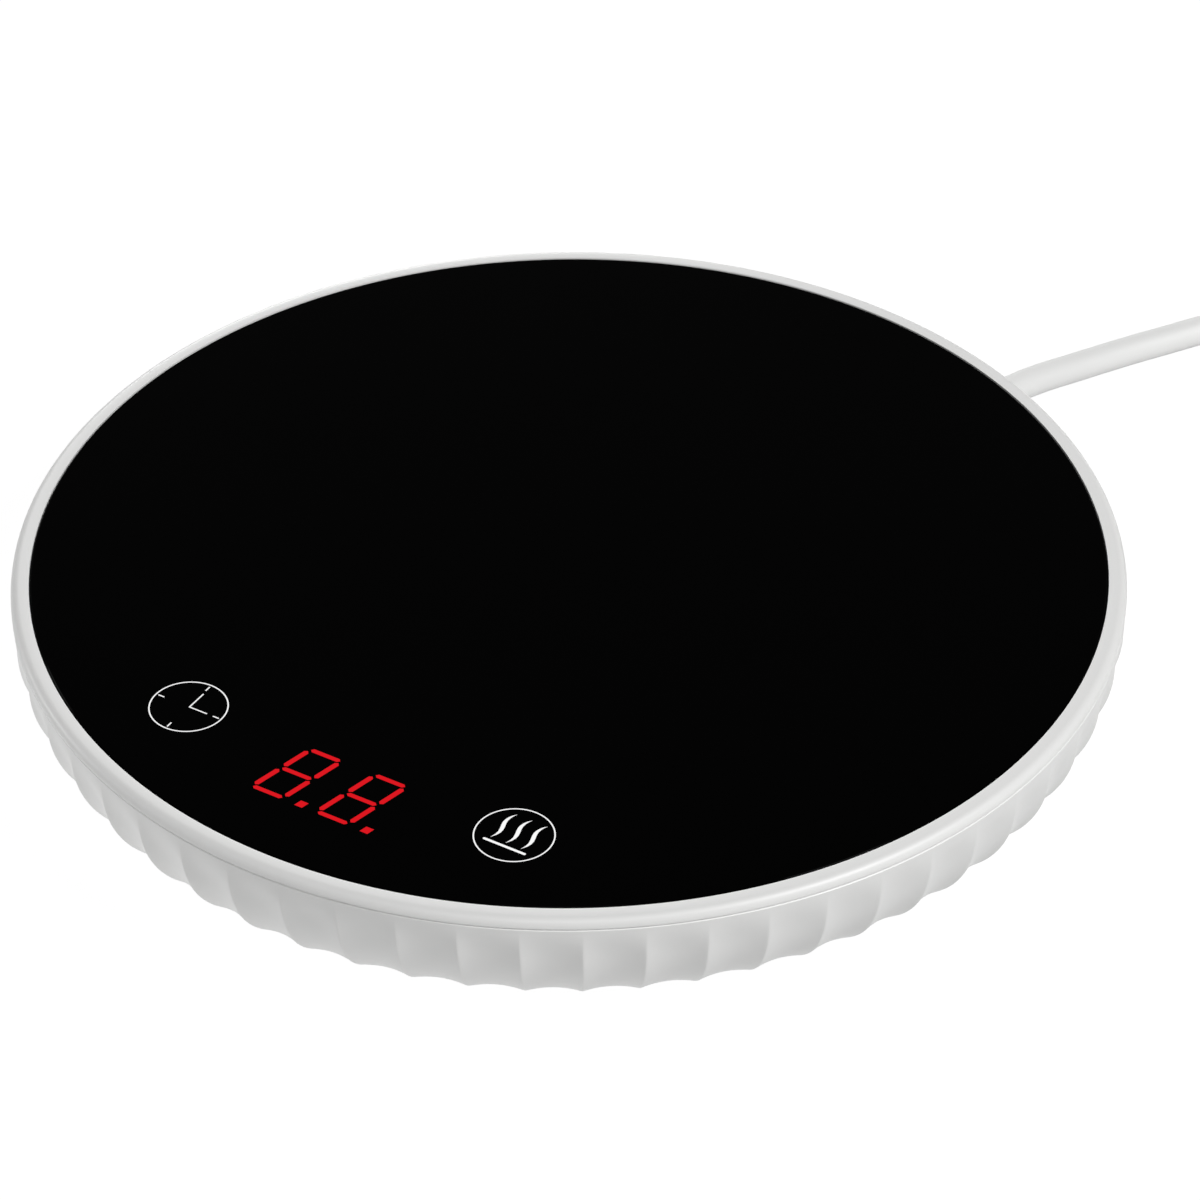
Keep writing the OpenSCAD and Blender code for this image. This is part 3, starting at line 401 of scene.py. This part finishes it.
FOOT_ANGLES = (45, 135, 225, 315)
FOOT_DISC_R = 5
FOOT_CLEAR = 0.15
FOOT_RECESS = 0.8
FOOT_EDGE_R = 0.35
GLASS_BEVEL = 0.15
RIM_INNER_R = 0.05        # rounds on the rim's inner and lower edges
RIM_LOWER_R = 0.1


def glass_disc():
    """The glass with its ground edge: a bevel, then the straight wall."""
    shape = bmesh.new()
    turn(shape, [
        (0, GLASS_Z), (GLASS_R, GLASS_Z), (GLASS_R, BODY_H - GLASS_BEVEL),
        (GLASS_R - GLASS_BEVEL, BODY_H), (0, BODY_H)])
    piece = finish_piece(shape, "glass_disc", [TOUGHENED_GLASS])
    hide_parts("glass_panel")


def rim_ring():
    """The rim: a round outer edge and a small inner round, with the lap, ledge and bosses below."""
    profile = (
        [(OPENING_R, LEDGE_Z)]
        + arc((OPENING_R + RIM_INNER_R, BODY_H - RIM_INNER_R), RIM_INNER_R, 180, 90, 4)
        + arc((BODY_R - RIM_ROUND, BODY_H - RIM_ROUND), RIM_ROUND, 90, 0, 12)
        + arc((BODY_R - RIM_LOWER_R, SPLIT_Z + RIM_LOWER_R), RIM_LOWER_R, 0, -90, 4)
        + [(BODY_R - LIP_T - LAP_GAP, SPLIT_Z), (BODY_R - LIP_T - LAP_GAP, SHOULDER_Z),
           (LEDGE_IN_R, SHOULDER_Z), (LEDGE_IN_R, LEDGE_Z)])
    shape = bmesh.new()
    turn(shape, profile, closed=True, steps=300)
    low, high = CARRIER_Z + CARRIER_T, LEDGE_Z - SUNK
    for angle in SCREW_ANGLES:
        turn(shape, [(0, high), (TOWER_R, high), (TOWER_R, low), (BOSS_HOLE_R, low),
                     (BOSS_HOLE_R, high - BLIND_END), (0, high - BLIND_END)],
             steps=ROUND_STEPS, centre=polar(SCREW_R, angle))
        box(shape, (SCREW_R + SCREW_HOLE_R, -TOWER_R, low),
            (LEDGE_IN_R + TAPE_W / 2, TOWER_R, high), angle)
    piece = finish_piece(shape, "rim_ring", [WHITE_ABS])
    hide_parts("top_frame")


# ---- Fluted shell ----

LIP_SOFT = 0.1            # bevel on the lip's outer edge
UPRIGHT_SHARE = 0.12      # share of the side's rows that stand above its curve


def side_radius(z):
    """The side's radius on the edges between the flutes."""
    if z >= SIDE_ARC_Z:
        return BODY_R
    return BODY_R - SIDE_ARC_R + math.sqrt(SIDE_ARC_R ** 2 - (SIDE_ARC_Z - z) ** 2)


def flute_fill(u):
    """How far the hollow is filled, from 0 in its middle to 1 on its softly rounded edges."""
    edge = 1 - EDGE_SOFT
    top = edge * edge + edge * EDGE_SOFT
    past = max(0, abs(u) - edge)
    inner = min(abs(u), edge)
    return (inner * inner + 2 * edge * past - edge * past * past / EDGE_SOFT) / top


def flute_depth(z):
    """The hollows' depth: none under the rim, growing softly downwards."""
    share = min((SHELL_TOP_Z - z) / FLUTE_FADE, 1)
    return FLUTE_DEPTH * share * share * (3 - 2 * share)


def place_on_side(vert):
    """Bends a vertex of the flat grid, -1 to 1 both ways, on to one flute of the side."""
    u = math.sin(vert.co.x * math.pi / 2)
    down = (1 - vert.co.y) / 2
    edge_z = SHELL_TOP_Z - LIP_SOFT
    if down < UPRIGHT_SHARE:
        z = edge_z - (edge_z - SIDE_ARC_Z) * down / UPRIGHT_SHARE
    else:
        span = math.asin((SIDE_ARC_Z - FOOT_GAP) / SIDE_ARC_R)
        z = SIDE_ARC_Z - SIDE_ARC_R * math.sin(span * (down - UPRIGHT_SHARE) / (1 - UPRIGHT_SHARE))
    r = side_radius(z) - flute_depth(z) * (1 - flute_fill(u))
    a = math.radians(FLUTE_START + 180 / FLUTES * (1 + u))
    vert.co = (r * math.cos(a), r * math.sin(a), z)


RIB_T = 1.2
RIB_H = 2.2
BOARD_Z = 5.4
POST_R = 2.3
POST_HOLE_R = 1.03
BOARD_SCREWS = ((-29, -31), (29, -31))
BOARD_REST = (0, -28.3)
CLAMP_R = 44
CLAMP_SIZE = (5, 15, 3.5)
LEAD_GAP = 0.05
BUSH_SEAT_R = 50
BUSH_HOLE_R = 2.9
BUSH_PAD_R = 4.5


def screw_towers(shape):
    """Round towers over the screw wells, each with three low ribs."""
    low, inside, top = FLOOR_Z - SUNK, WELL_R + SUNK, FLOOR_Z + RIB_H
    ceiling = FOOT_GAP + WELL_DEPTH + SUNK
    for angle in SCREW_ANGLES:
        place = polar(SCREW_R, angle)
        turn(shape, [(SCREW_HOLE_R, CARRIER_Z), (TOWER_R, CARRIER_Z), (TOWER_R, low), (inside, low),
                     (inside, ceiling), (SCREW_HOLE_R, ceiling)],
             closed=True, steps=ROUND_STEPS, centre=place)
        box(shape, (SCREW_R + inside, -RIB_T / 2, low),
            (SCREW_R + 2 * TOWER_R, RIB_T / 2, top), angle)
        for start, end in ((inside, 2 * TOWER_R), (-2 * TOWER_R, -inside)):
            box(shape, (SCREW_R - RIB_T / 2, start, low), (SCREW_R + RIB_T / 2, end, top), angle)


def board_posts(shape):
    """Two posts with blind holes for the board's screws, and one that its back edge rests on."""
    low = FLOOR_Z - SUNK
    for place in BOARD_SCREWS:
        turn(shape, [(0, low), (POST_R, low), (POST_R, BOARD_Z), (POST_HOLE_R, BOARD_Z),
                     (POST_HOLE_R, FLOOR_Z + BLIND_END), (0, FLOOR_Z + BLIND_END)],
             steps=ROUND_STEPS, centre=place)
    turn(shape, [(0, low), (POST_R, low), (POST_R, BOARD_Z), (0, BOARD_Z)], steps=ROUND_STEPS,
         centre=BOARD_REST)


def clamp_block(shape):
    """The block with a round channel that the lead is clamped on."""
    length, width, height = CLAMP_SIZE
    top = FLOOR_Z + height
    channel_r = CORD_D / 2 + LEAD_GAP
    dip = math.degrees(math.acos((CORD_Z - top) / channel_r))
    outline = ([(-width / 2, FLOOR_Z - SUNK), (-width / 2, top)]
               + arc((0, CORD_Z), channel_r, -90 - dip, -90 + dip, 12)
               + [(width / 2, top), (width / 2, FLOOR_Z - SUNK)])
    end = shape.faces.new([shape.verts.new((CLAMP_R - length / 2, y, z)) for y, z in outline])
    new = bmesh.ops.extrude_face_region(shape, geom=[end], use_keep_orig=True)["geom"]
    far = [g for g in new if isinstance(g, bmesh.types.BMVert)]
    bmesh.ops.translate(shape, vec=(length, 0, 0), verts=far)
    turn_verts(shape, end.verts[:] + far, CORD_ANGLE)


def bush_pad(shape):
    """The round pad inside the wall that the bush's flange sits against."""
    rings = []
    for radius, out in ((BUSH_HOLE_R, False), (BUSH_PAD_R, False), (BUSH_PAD_R, True),
                        (BUSH_HOLE_R, True)):
        ring = bmesh.ops.create_circle(shape, segments=ROUND_STEPS, radius=radius)["verts"]
        for vert in ring:
            y, z = vert.co.x, CORD_Z + vert.co.y
            wall_r = side_radius(z) - WALL / 2
            vert.co = (math.sqrt(wall_r ** 2 - y ** 2) if out else BUSH_SEAT_R, y, z)
        turn_verts(shape, ring, CORD_ANGLE)
        rings.append(edges_of(ring))
    for a, b in zip(rings, rings[1:] + rings[:1]):
        bmesh.ops.bridge_loops(shape, edges=a + b)


def fluted_shell():
    """The lower shell: sixty hollow flutes, a lip inside the rim's seam, a flat floor with its
    screw wells and foot recesses, and the curved wall inside."""
    shape = bmesh.new()
    bmesh.ops.create_grid(shape, x_segments=FLUTE_STEPS, y_segments=SIDE_ROWS, size=1)
    for vert in shape.verts:
        place_on_side(vert)
    bmesh.ops.spin(shape, geom=shape.verts[:] + shape.edges[:] + shape.faces[:], cent=(0, 0, 0),
                   axis=(0, 0, 1), angle=2 * math.pi * (FLUTES - 1) / FLUTES, steps=FLUTES - 1,
                   use_duplicate=True)
    bmesh.ops.remove_doubles(shape, verts=shape.verts, dist=JOINED)

    rim = [e for e in shape.edges if e.is_boundary and e.verts[0].co.z > BODY_H / 2]
    rim = extrude_loop(shape, rim, lambda co: at_radius(co, co.xy.length - LIP_SOFT, SHELL_TOP_Z))
    inner_arc_r = SIDE_ARC_R - WALL
    inside = arc((BODY_R - SIDE_ARC_R, SIDE_ARC_Z), inner_arc_r,
                 -math.degrees(math.asin((SIDE_ARC_Z - SHOULDER_Z) / inner_arc_r)),
                 -math.degrees(math.asin((SIDE_ARC_Z - FLOOR_Z) / inner_arc_r)), 8)
    steps = [(BODY_R - LIP_T, SHELL_TOP_Z), (BODY_R - LIP_T, SHOULDER_Z)] + inside
    for radius, height in steps:
        rim = extrude_loop(shape, rim, lambda co: at_radius(co, radius, height))
    bmesh.ops.holes_fill(shape, edges=rim)

    floor_edge = [e for e in shape.edges if e.is_boundary]
    pits = []
    for angles, ring_r, pit_r, depth in (
            (SCREW_ANGLES, SCREW_R, WELL_R, WELL_DEPTH),
            (FOOT_ANGLES, FOOT_R, FOOT_DISC_R + FOOT_CLEAR, FOOT_RECESS)):
        for angle in angles:
            pit = bmesh.ops.create_circle(shape, segments=ROUND_STEPS, radius=pit_r)["verts"]
            bmesh.ops.translate(shape, vec=(*polar(ring_r, angle), FOOT_GAP), verts=pit)
            pits.append((edges_of(pit), depth))
    bmesh.ops.triangle_fill(shape, use_beauty=True, use_dissolve=False,
                            edges=floor_edge + [e for edges, _ in pits for e in edges])
    for edges, depth in pits:
        end = extrude_loop(shape, edges, lambda co: co + Vector((0, 0, depth)))
        bmesh.ops.holes_fill(shape, edges=end)
    screw_towers(shape)
    board_posts(shape)
    clamp_block(shape)
    bush_pad(shape)
    piece = finish_piece(shape, "fluted_shell", [WHITE_ABS], sharp=30)
    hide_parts("base_shell")


def soft_feet():
    """Four silicone discs with a rounded lower edge."""
    shape = bmesh.new()
    height = FOOT_GAP + FOOT_RECESS
    for angle in FOOT_ANGLES:
        disc = bmesh.ops.create_cone(shape, cap_ends=True, segments=DISC_STEPS, radius1=FOOT_DISC_R,
                                     radius2=FOOT_DISC_R, depth=height)["verts"]
        bmesh.ops.translate(shape, vec=(*polar(FOOT_R, angle), height / 2), verts=disc)
    lower = [e for e in shape.edges if all(v.co.z < 0.01 for v in e.verts)]
    round_edges(shape, lower, FOOT_EDGE_R)
    piece = finish_piece(shape, "soft_feet", [GREY_SILICONE])
    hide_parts("rubber_feet")


# ---- Marks in the glass ----

MARK_Z = BODY_H + 0.01
MARK_T = 0.02
KEY_X = 19.92
KEY_Y = -42.71
KEY_RING_R = 4.096
RING_STEPS = 96
LINE_W = 0.145            # width of the icons' lines
HANDS_OFF = 0.12          # the hands' corner lies this far right of the middle
MINUTE_HAND = 2.52
HOUR_HAND = 2.2
TICK_FROM = 3.08
TICK_TO = 3.82
BAR_W = 0.3
BAR_X = (-2.47, 2.6)
BAR_Y = -1.97
WAVE_PITCH = 1.8
DIGIT_AT = (-4.17, -45.96)
DIGIT_PITCH = 7.92
DIGIT_SLANT = 0.23
DIGIT_HALF_W = 1.87
DIGIT_HALF_H = 3.92
SEGMENT_W = 0.53          # width of the level segments
UPRIGHT_W = 0.6
SEGMENT_TIP = 0.25        # how far a segment's end is drawn out to a point
SEGMENT_GAP = 0.08        # from a level segment's end to the uprights' middle
UPRIGHT_GAP = 0.33
POINT_AT = (4.0, -3.77)
POINT_HALF = 0.46


def flat_mark(shape, points):
    """A flat face through (x, y) points on the glass."""
    return shape.faces.new([shape.verts.new((x, y, MARK_Z)) for x, y in points])


def stroke(shape, start, end, width, tips=0):
    """A straight stroke of a pen, its tips drawn out to points tips mm long."""
    a, b = Vector(start), Vector(end)
    along = (b - a).normalized()
    side = Vector((-along.y, along.x)) * width / 2
    inset = along * tips
    points = [a + inset + side, b - inset + side, b - inset - side, a + inset - side]
    if tips:
        points = [a, a + inset + side, b - inset + side, b, b - inset - side, a + inset - side]
    flat_mark(shape, points)


def circle_line(shape, centre, radius, width):
    """A thin ring."""
    inner = radius - width / 2
    loop = bmesh.ops.create_circle(shape, segments=RING_STEPS, radius=inner)["verts"]
    bmesh.ops.translate(shape, vec=(centre[0], centre[1], MARK_Z), verts=loop)
    middle = Vector((centre[0], centre[1], MARK_Z))
    extrude_loop(shape, edges_of(loop), lambda co: middle + (co - middle) * (inner + width) / inner)


def thicken_marks(shape):
    """Gives flat marks the thickness of the ink."""
    bmesh.ops.recalc_face_normals(shape, faces=shape.faces)
    for face in shape.faces:
        if face.normal.z < 0:
            face.normal_flip()
    bmesh.ops.solidify(shape, geom=shape.faces[:], thickness=MARK_T)


def clock_mark():
    """The timer key's sign: a clock face in a ring."""
    shape = bmesh.new()
    x, y = -KEY_X, KEY_Y
    circle_line(shape, (x, y), KEY_RING_R, LINE_W)
    hands_x = x + HANDS_OFF
    stroke(shape, (hands_x, y - LINE_W / 2), (hands_x, y + MINUTE_HAND), LINE_W)
    stroke(shape, (hands_x - LINE_W / 2, y), (hands_x + HOUR_HAND, y), LINE_W)
    for dx, dy in ((0, 1), (1, 0), (0, -1), (-1, 0)):
        stroke(shape, (x + TICK_FROM * dx, y + TICK_FROM * dy),
               (x + TICK_TO * dx, y + TICK_TO * dy), LINE_W)
    thicken_marks(shape)
    finish_piece(shape, "clock_mark", [PAINTED_GLOW_INK])


def steam_wave(shape, x, y):
    """One wave of steam: an S that is thick in its middle and ends in points."""
    centres = [(-0.08, -1.44), (0.18, -0.85), (0.27, -0.35), (0.22, 0.15), (0.08, 0.66),
               (-0.06, 1.15), (-0.09, 1.60), (-0.02, 2.05), (0.13, 2.45), (0.37, 2.83)]
    widths = [0.02, 0.20, 0.32, 0.42, 0.46, 0.42, 0.34, 0.26, 0.16, 0.02]
    left = []
    right = []
    for (cx, cy), width in zip(centres, widths):
        left.append((x + cx - width / 2, y + cy))
        right.append((x + cx + width / 2, y + cy))
    for i in range(len(centres) - 1):
        flat_mark(shape, [left[i], right[i], right[i + 1], left[i + 1]])


def heat_mark():
    """The heat key's sign: three waves over a line in a ring."""
    shape = bmesh.new()
    x, y = KEY_X, KEY_Y
    circle_line(shape, (x, y), KEY_RING_R, LINE_W)
    stroke(shape, (x + BAR_X[0], y + BAR_Y), (x + BAR_X[1], y + BAR_Y), BAR_W, tips=BAR_W / 3)
    for i in range(3):
        steam_wave(shape, x + WAVE_PITCH * (i - 1), y)
    bmesh.ops.remove_doubles(shape, verts=shape.verts, dist=JOINED)
    thicken_marks(shape)
    finish_piece(shape, "heat_mark", [PAINTED_GLOW_INK])


def lit_digit(shape, x0, y0):
    """Seven slanted segments and a point."""
    def slanted(x, y):
        return (x0 + x + DIGIT_SLANT * y, y0 + y)
    across = DIGIT_HALF_W - SEGMENT_GAP
    for row in (-DIGIT_HALF_H, 0, DIGIT_HALF_H):
        stroke(shape, slanted(-across, row), slanted(across, row), SEGMENT_W, tips=SEGMENT_TIP)
    low, high = UPRIGHT_GAP, DIGIT_HALF_H - UPRIGHT_GAP
    for side in (-DIGIT_HALF_W, DIGIT_HALF_W):
        for end in (-1, 1):
            stroke(shape, slanted(side, end * low), slanted(side, end * high), UPRIGHT_W,
                   tips=SEGMENT_TIP)
    flat_mark(shape, [slanted(POINT_AT[0] + POINT_HALF * i, POINT_AT[1] + POINT_HALF * j)
                      for i, j in ((-1, -1), (1, -1), (1, 1), (-1, 1))])


def lit_number():
    """The display's two lit digits."""
    shape = bmesh.new()
    for i in range(2):
        lit_digit(shape, DIGIT_AT[0] + DIGIT_PITCH * i, DIGIT_AT[1])
    thicken_marks(shape)
    finish_piece(shape, "lit_number", [LIT_RED])


# ---- Lead ----

# The points that the lead follows from the body to its coil, and from the coil to its plug
LEAD_POINTS = [
    (17.54, 57.38, 6.5), (18.4, 60.2, 6.5), (19.0, 63.5, 6.3), (19.8, 68.0, 5.6), (20.8, 72.6, 4.6),
    (22.1, 77.2, 3.55), (23.8, 81.8, 2.8), (25.8, 86.2, 2.3), (28.1, 90.4, 2.0), (30.6, 94.6, 1.85),
    (33.3, 98.8, 1.8), (36.0, 103.0, 1.8), (38.7, 107.1, 1.9), (41.3, 111.2, 2.1)]
END_POINTS = [
    (92.2, 96.5, 5.2), (92.2, 92.0, 4.1), (92.2, 87.5, 3.0), (92.2, 83.0, 2.4), (92.2, 78.5, 2.7),
    (92.2, 74.0, 3.4), (92.2, 70.0, 3.8)]
COIL_AT = (66, 101)
COIL_OUT_R = 26.25
COIL_TURNS = 4
COIL_LOW_Z = 2.35
COIL_START = 147
TURN_STEPS = 20


def coil_points():
    """Inward along the table for four turns, then outward again on top of them, clockwise."""
    sweep = 360 * COIL_TURNS
    last = (COIL_START - 2 * sweep) % 360
    total = 2 * sweep + last
    middle = total / 2
    count = round(total / 360 * TURN_STEPS)
    points = []
    for i in range(count + 1):
        turned = total * i / count
        inward = 1 - abs(turned - middle) / middle
        radius = COIL_OUT_R - COIL_TURNS * CORD_D * inward
        climb = min(max((turned - middle) / 90 + 0.5, 0), 1)
        angle = math.radians(COIL_START - turned)
        points.append((COIL_AT[0] + radius * math.cos(angle), COIL_AT[1] + radius * math.sin(angle),
                       COIL_LOW_Z + CORD_D * climb))
    return points


def lead():
    """The lead as one tube from the bush, through its coil, to the plug."""
    points = LEAD_POINTS + coil_points() + END_POINTS
    data = bpy.data.curves.new("lead", "CURVE")
    data.dimensions = "3D"
    data.bevel_depth = CORD_D / 2 * MM
    data.bevel_resolution = 6
    data.resolution_u = 3
    data.use_fill_caps = True
    line = data.splines.new("BEZIER")
    line.bezier_points.add(len(points) - 1)
    for knot, point in zip(line.bezier_points, points):
        knot.co = Vector(point) * MM
        knot.handle_left_type = "AUTO"
        knot.handle_right_type = "AUTO"
    data.materials.append(WHITE_TPE)
    piece = new_object("lead", data)
    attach(piece, "root")
    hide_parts("cord_lead", "cord_coil", "cord_end")
    return piece, points


PLUG_SIZE = (15.6, 21, 7.5)
PLUG_CORNER_R = 1.5
PLUG_EDGE_R = 0.5
PLUG_X = 92.2
PLUG_REAR_Y = 70
TAIL_L = 8
TAIL_R = 2.5
TAIL_STEP = 0.25
GROOVES = 4
GROOVE_W = 0.7
GROOVE_R = CORD_D / 2 + 0.5
GROOVE_SOFT = 0.12


def tail_profile():
    """The tail's (radius, distance from its end) points: a taper with grooves, its edges soft."""
    def taper(t):
        return TAIL_R + (PLUG_SIZE[2] / 2 - TAIL_STEP - TAIL_R) * t / TAIL_L
    points = [(0, 0), (TAIL_R - GROOVE_SOFT, 0), (TAIL_R, GROOVE_SOFT)]
    for i in range(1, GROOVES + 1):
        start = i * TAIL_L / (GROOVES + 1) - GROOVE_W / 2
        end = start + GROOVE_W
        points += [
            (taper(start), start - GROOVE_SOFT), (taper(start) - GROOVE_SOFT, start),
            (GROOVE_R, start), (GROOVE_R, end),
            (taper(end) - GROOVE_SOFT, end), (taper(end), end + GROOVE_SOFT)]
    return points + [(taper(TAIL_L), TAIL_L), (taper(TAIL_L), TAIL_L + 1), (0, TAIL_L + 1)]


def moulded_plug():
    """The plug's moulded grip and its grooved tail."""
    shape = bmesh.new()
    grip = bmesh.ops.create_cube(shape, size=1)["verts"]
    bmesh.ops.scale(shape, vec=PLUG_SIZE, verts=grip)
    along = [e for e in shape.edges if abs(e.verts[0].co.y - e.verts[1].co.y) > 1]
    round_edges(shape, along, PLUG_CORNER_R, segments=8)
    ends = [f for f in shape.faces if abs(f.normal.y) > 0.9]
    ring = list(dict.fromkeys(e for f in ends for e in f.edges))
    round_edges(shape, ring, PLUG_EDGE_R)
    centre_y = PLUG_REAR_Y - TAIL_L - PLUG_SIZE[1] / 2
    bmesh.ops.translate(shape, vec=(PLUG_X, centre_y, PLUG_SIZE[2] / 2), verts=shape.verts)
    geometry = draw_profile(shape, tail_profile(), closed=False)
    for vert in (g for g in geometry if isinstance(g, bmesh.types.BMVert)):
        vert.co = (PLUG_X + vert.co.x, PLUG_REAR_Y - vert.co.z, PLUG_SIZE[2] / 2)
    bmesh.ops.spin(shape, geom=geometry, cent=(PLUG_X, 0, PLUG_SIZE[2] / 2), axis=(0, 1, 0),
                   angle=2 * math.pi, steps=DISC_STEPS, use_merge=True)
    piece = finish_piece(shape, "moulded_plug", [WHITE_TPE])
    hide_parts("plug_body")
    return piece


def smooth_copy(node, name, sharp=30):
    """A CAD node's own shape with its faces joined, so that its round walls shade smoothly."""
    source = frame["nodes"][node]
    shape = bmesh.new()
    shape.from_mesh(source.data)
    bmesh.ops.scale(shape, vec=(1 / MM, 1 / MM, 1 / MM), verts=shape.verts)
    piece = finish_piece(shape, name, list(source.data.materials), sharp=sharp)
    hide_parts(node)
    return piece


# ---- Room: pale table and plain soft light ----

TABLE_GLOW = 0.95         # what the table shows where no lamp reaches it
PANEL_GLOW = (0.55, 0.3)  # the light panel under the table, at its left and at its right
PANEL_ENDS = (-60, 50)    # its light changes between these places
PANEL_TURN = 32           # it lies turned by this many degrees from +X
TABLE_HALF = 4            # metres from the table's middle to its sides
BOUNCE_GREY = (0.3, 0.3, 0.3, 1)       # how much lamp light the table throws back at the body
SHADOW_GREY = (0.12, 0.12, 0.12, 1)    # how much of it shows, and so how deep the shadow is
ROOM_LIGHT = 0.05         # light from all round


def seen_ray(tree):
    """1 for what the camera sees, directly, in a reflection or through glass, and 0 for light."""
    ray = add(tree, "ShaderNodeLightPath")
    seen = add(tree, "ShaderNodeMath", {"operation": "MAXIMUM"}, {
        0: ray.outputs["Is Camera Ray"], 1: ray.outputs["Is Glossy Ray"]})
    return add(tree, "ShaderNodeMath", {"operation": "MAXIMUM"}, {
        0: seen.outputs[0], 1: ray.outputs["Is Transmission Ray"]}).outputs[0]


def pale_table():
    """A white light table that keeps a faint shadow. Seen directly it is a full white, and it
    throws soft light up at the body's underside, more of it at the left."""
    shape = bmesh.new()
    bmesh.ops.create_grid(shape, x_segments=1, y_segments=1, size=TABLE_HALF)
    mesh = bpy.data.meshes.new("table")
    shape.to_mesh(mesh)
    shape.free()
    table = new_object("table", mesh)
    material, tree, output = new_material("table_white")
    place = add(tree, "ShaderNodeTexCoord")
    across = add(tree, "ShaderNodeVectorMath", {"operation": "DOT_PRODUCT"}, {
        0: place.outputs["Object"], 1: (*polar(1, PANEL_TURN), 0)})
    panel = add(tree, "ShaderNodeMapRange", {}, {
        "Value": across.outputs["Value"], "From Min": PANEL_ENDS[0] * MM,
        "From Max": PANEL_ENDS[1] * MM, "To Min": PANEL_GLOW[0], "To Max": PANEL_GLOW[1]})
    lit = add(tree, "ShaderNodeEmission", {}, {"Strength": panel.outputs[0]})
    white = add(tree, "ShaderNodeBsdfDiffuse", {}, {"Color": BOUNCE_GREY})
    bounce = add(tree, "ShaderNodeAddShader", {}, {0: white.outputs[0], 1: lit.outputs[0]})
    shade = add(tree, "ShaderNodeBsdfDiffuse", {}, {"Color": SHADOW_GREY})
    glow = add(tree, "ShaderNodeEmission", {}, {"Strength": TABLE_GLOW})
    shown = add(tree, "ShaderNodeAddShader", {}, {0: shade.outputs[0], 1: glow.outputs[0]})
    both = add(tree, "ShaderNodeMixShader", {}, {
        0: seen_ray(tree), 1: bounce.outputs[0], 2: shown.outputs[0]})
    tree.links.new(both.outputs[0], output.inputs["Surface"])
    mesh.materials.append(material)


def pale_room():
    """The world: white where it is seen, softer where it lights."""
    world = bpy.data.worlds.new("room")
    bpy.context.scene.world = world
    world.use_nodes = True
    tree = world.node_tree
    tree.nodes.clear()
    light = add(tree, "ShaderNodeBackground", {}, {"Strength": ROOM_LIGHT})
    white = add(tree, "ShaderNodeBackground", {}, {"Strength": 1.0})
    both = add(tree, "ShaderNodeMixShader", {}, {
        0: seen_ray(tree), 1: light.outputs[0], 2: white.outputs[0]})
    output = add(tree, "ShaderNodeOutputWorld")
    tree.links.new(both.outputs[0], output.inputs["Surface"])


LAMP_R = 0.9              # metres from the body to each lamp
LAMP_SIZE = 0.3


def soft_lamp(name, azimuth, elevation, power):
    """A square soft box that faces the body, its angles in degrees from +X and from the table."""
    data = bpy.data.lights.new(name, "AREA")
    data.size = LAMP_SIZE
    data.energy = power
    lamp = new_object(name, data)
    x, y = polar(LAMP_R * math.cos(math.radians(elevation)), azimuth)
    lamp.location = (x, y, LAMP_R * math.sin(math.radians(elevation)))
    lamp.rotation_euler = (-lamp.location).to_track_quat("-Z", "Y").to_euler()


cord, cord_path = lead()
plug = moulded_plug()
plug_steel = smooth_copy("plug_shell", "plug_steel")
tie = smooth_copy("cord_tie", "tie")
tie.data.materials.clear()
tie.data.materials.append(BLACK_NYLON)
smooth_copy("cord_grommet", "bush")

glass_disc()
rim_ring()
fluted_shell()
soft_feet()
clock_mark()
heat_mark()
lit_number()

pale_table()
pale_room()
soft_lamp("key", 0, 46, 5.4)
soft_lamp("front", 300, 45, 1.4)
soft_lamp("left", 192, 6, 2.5)
soft_lamp("back", 130, 18, 2.5)

bpy.context.scene.view_settings.view_transform = "Standard"
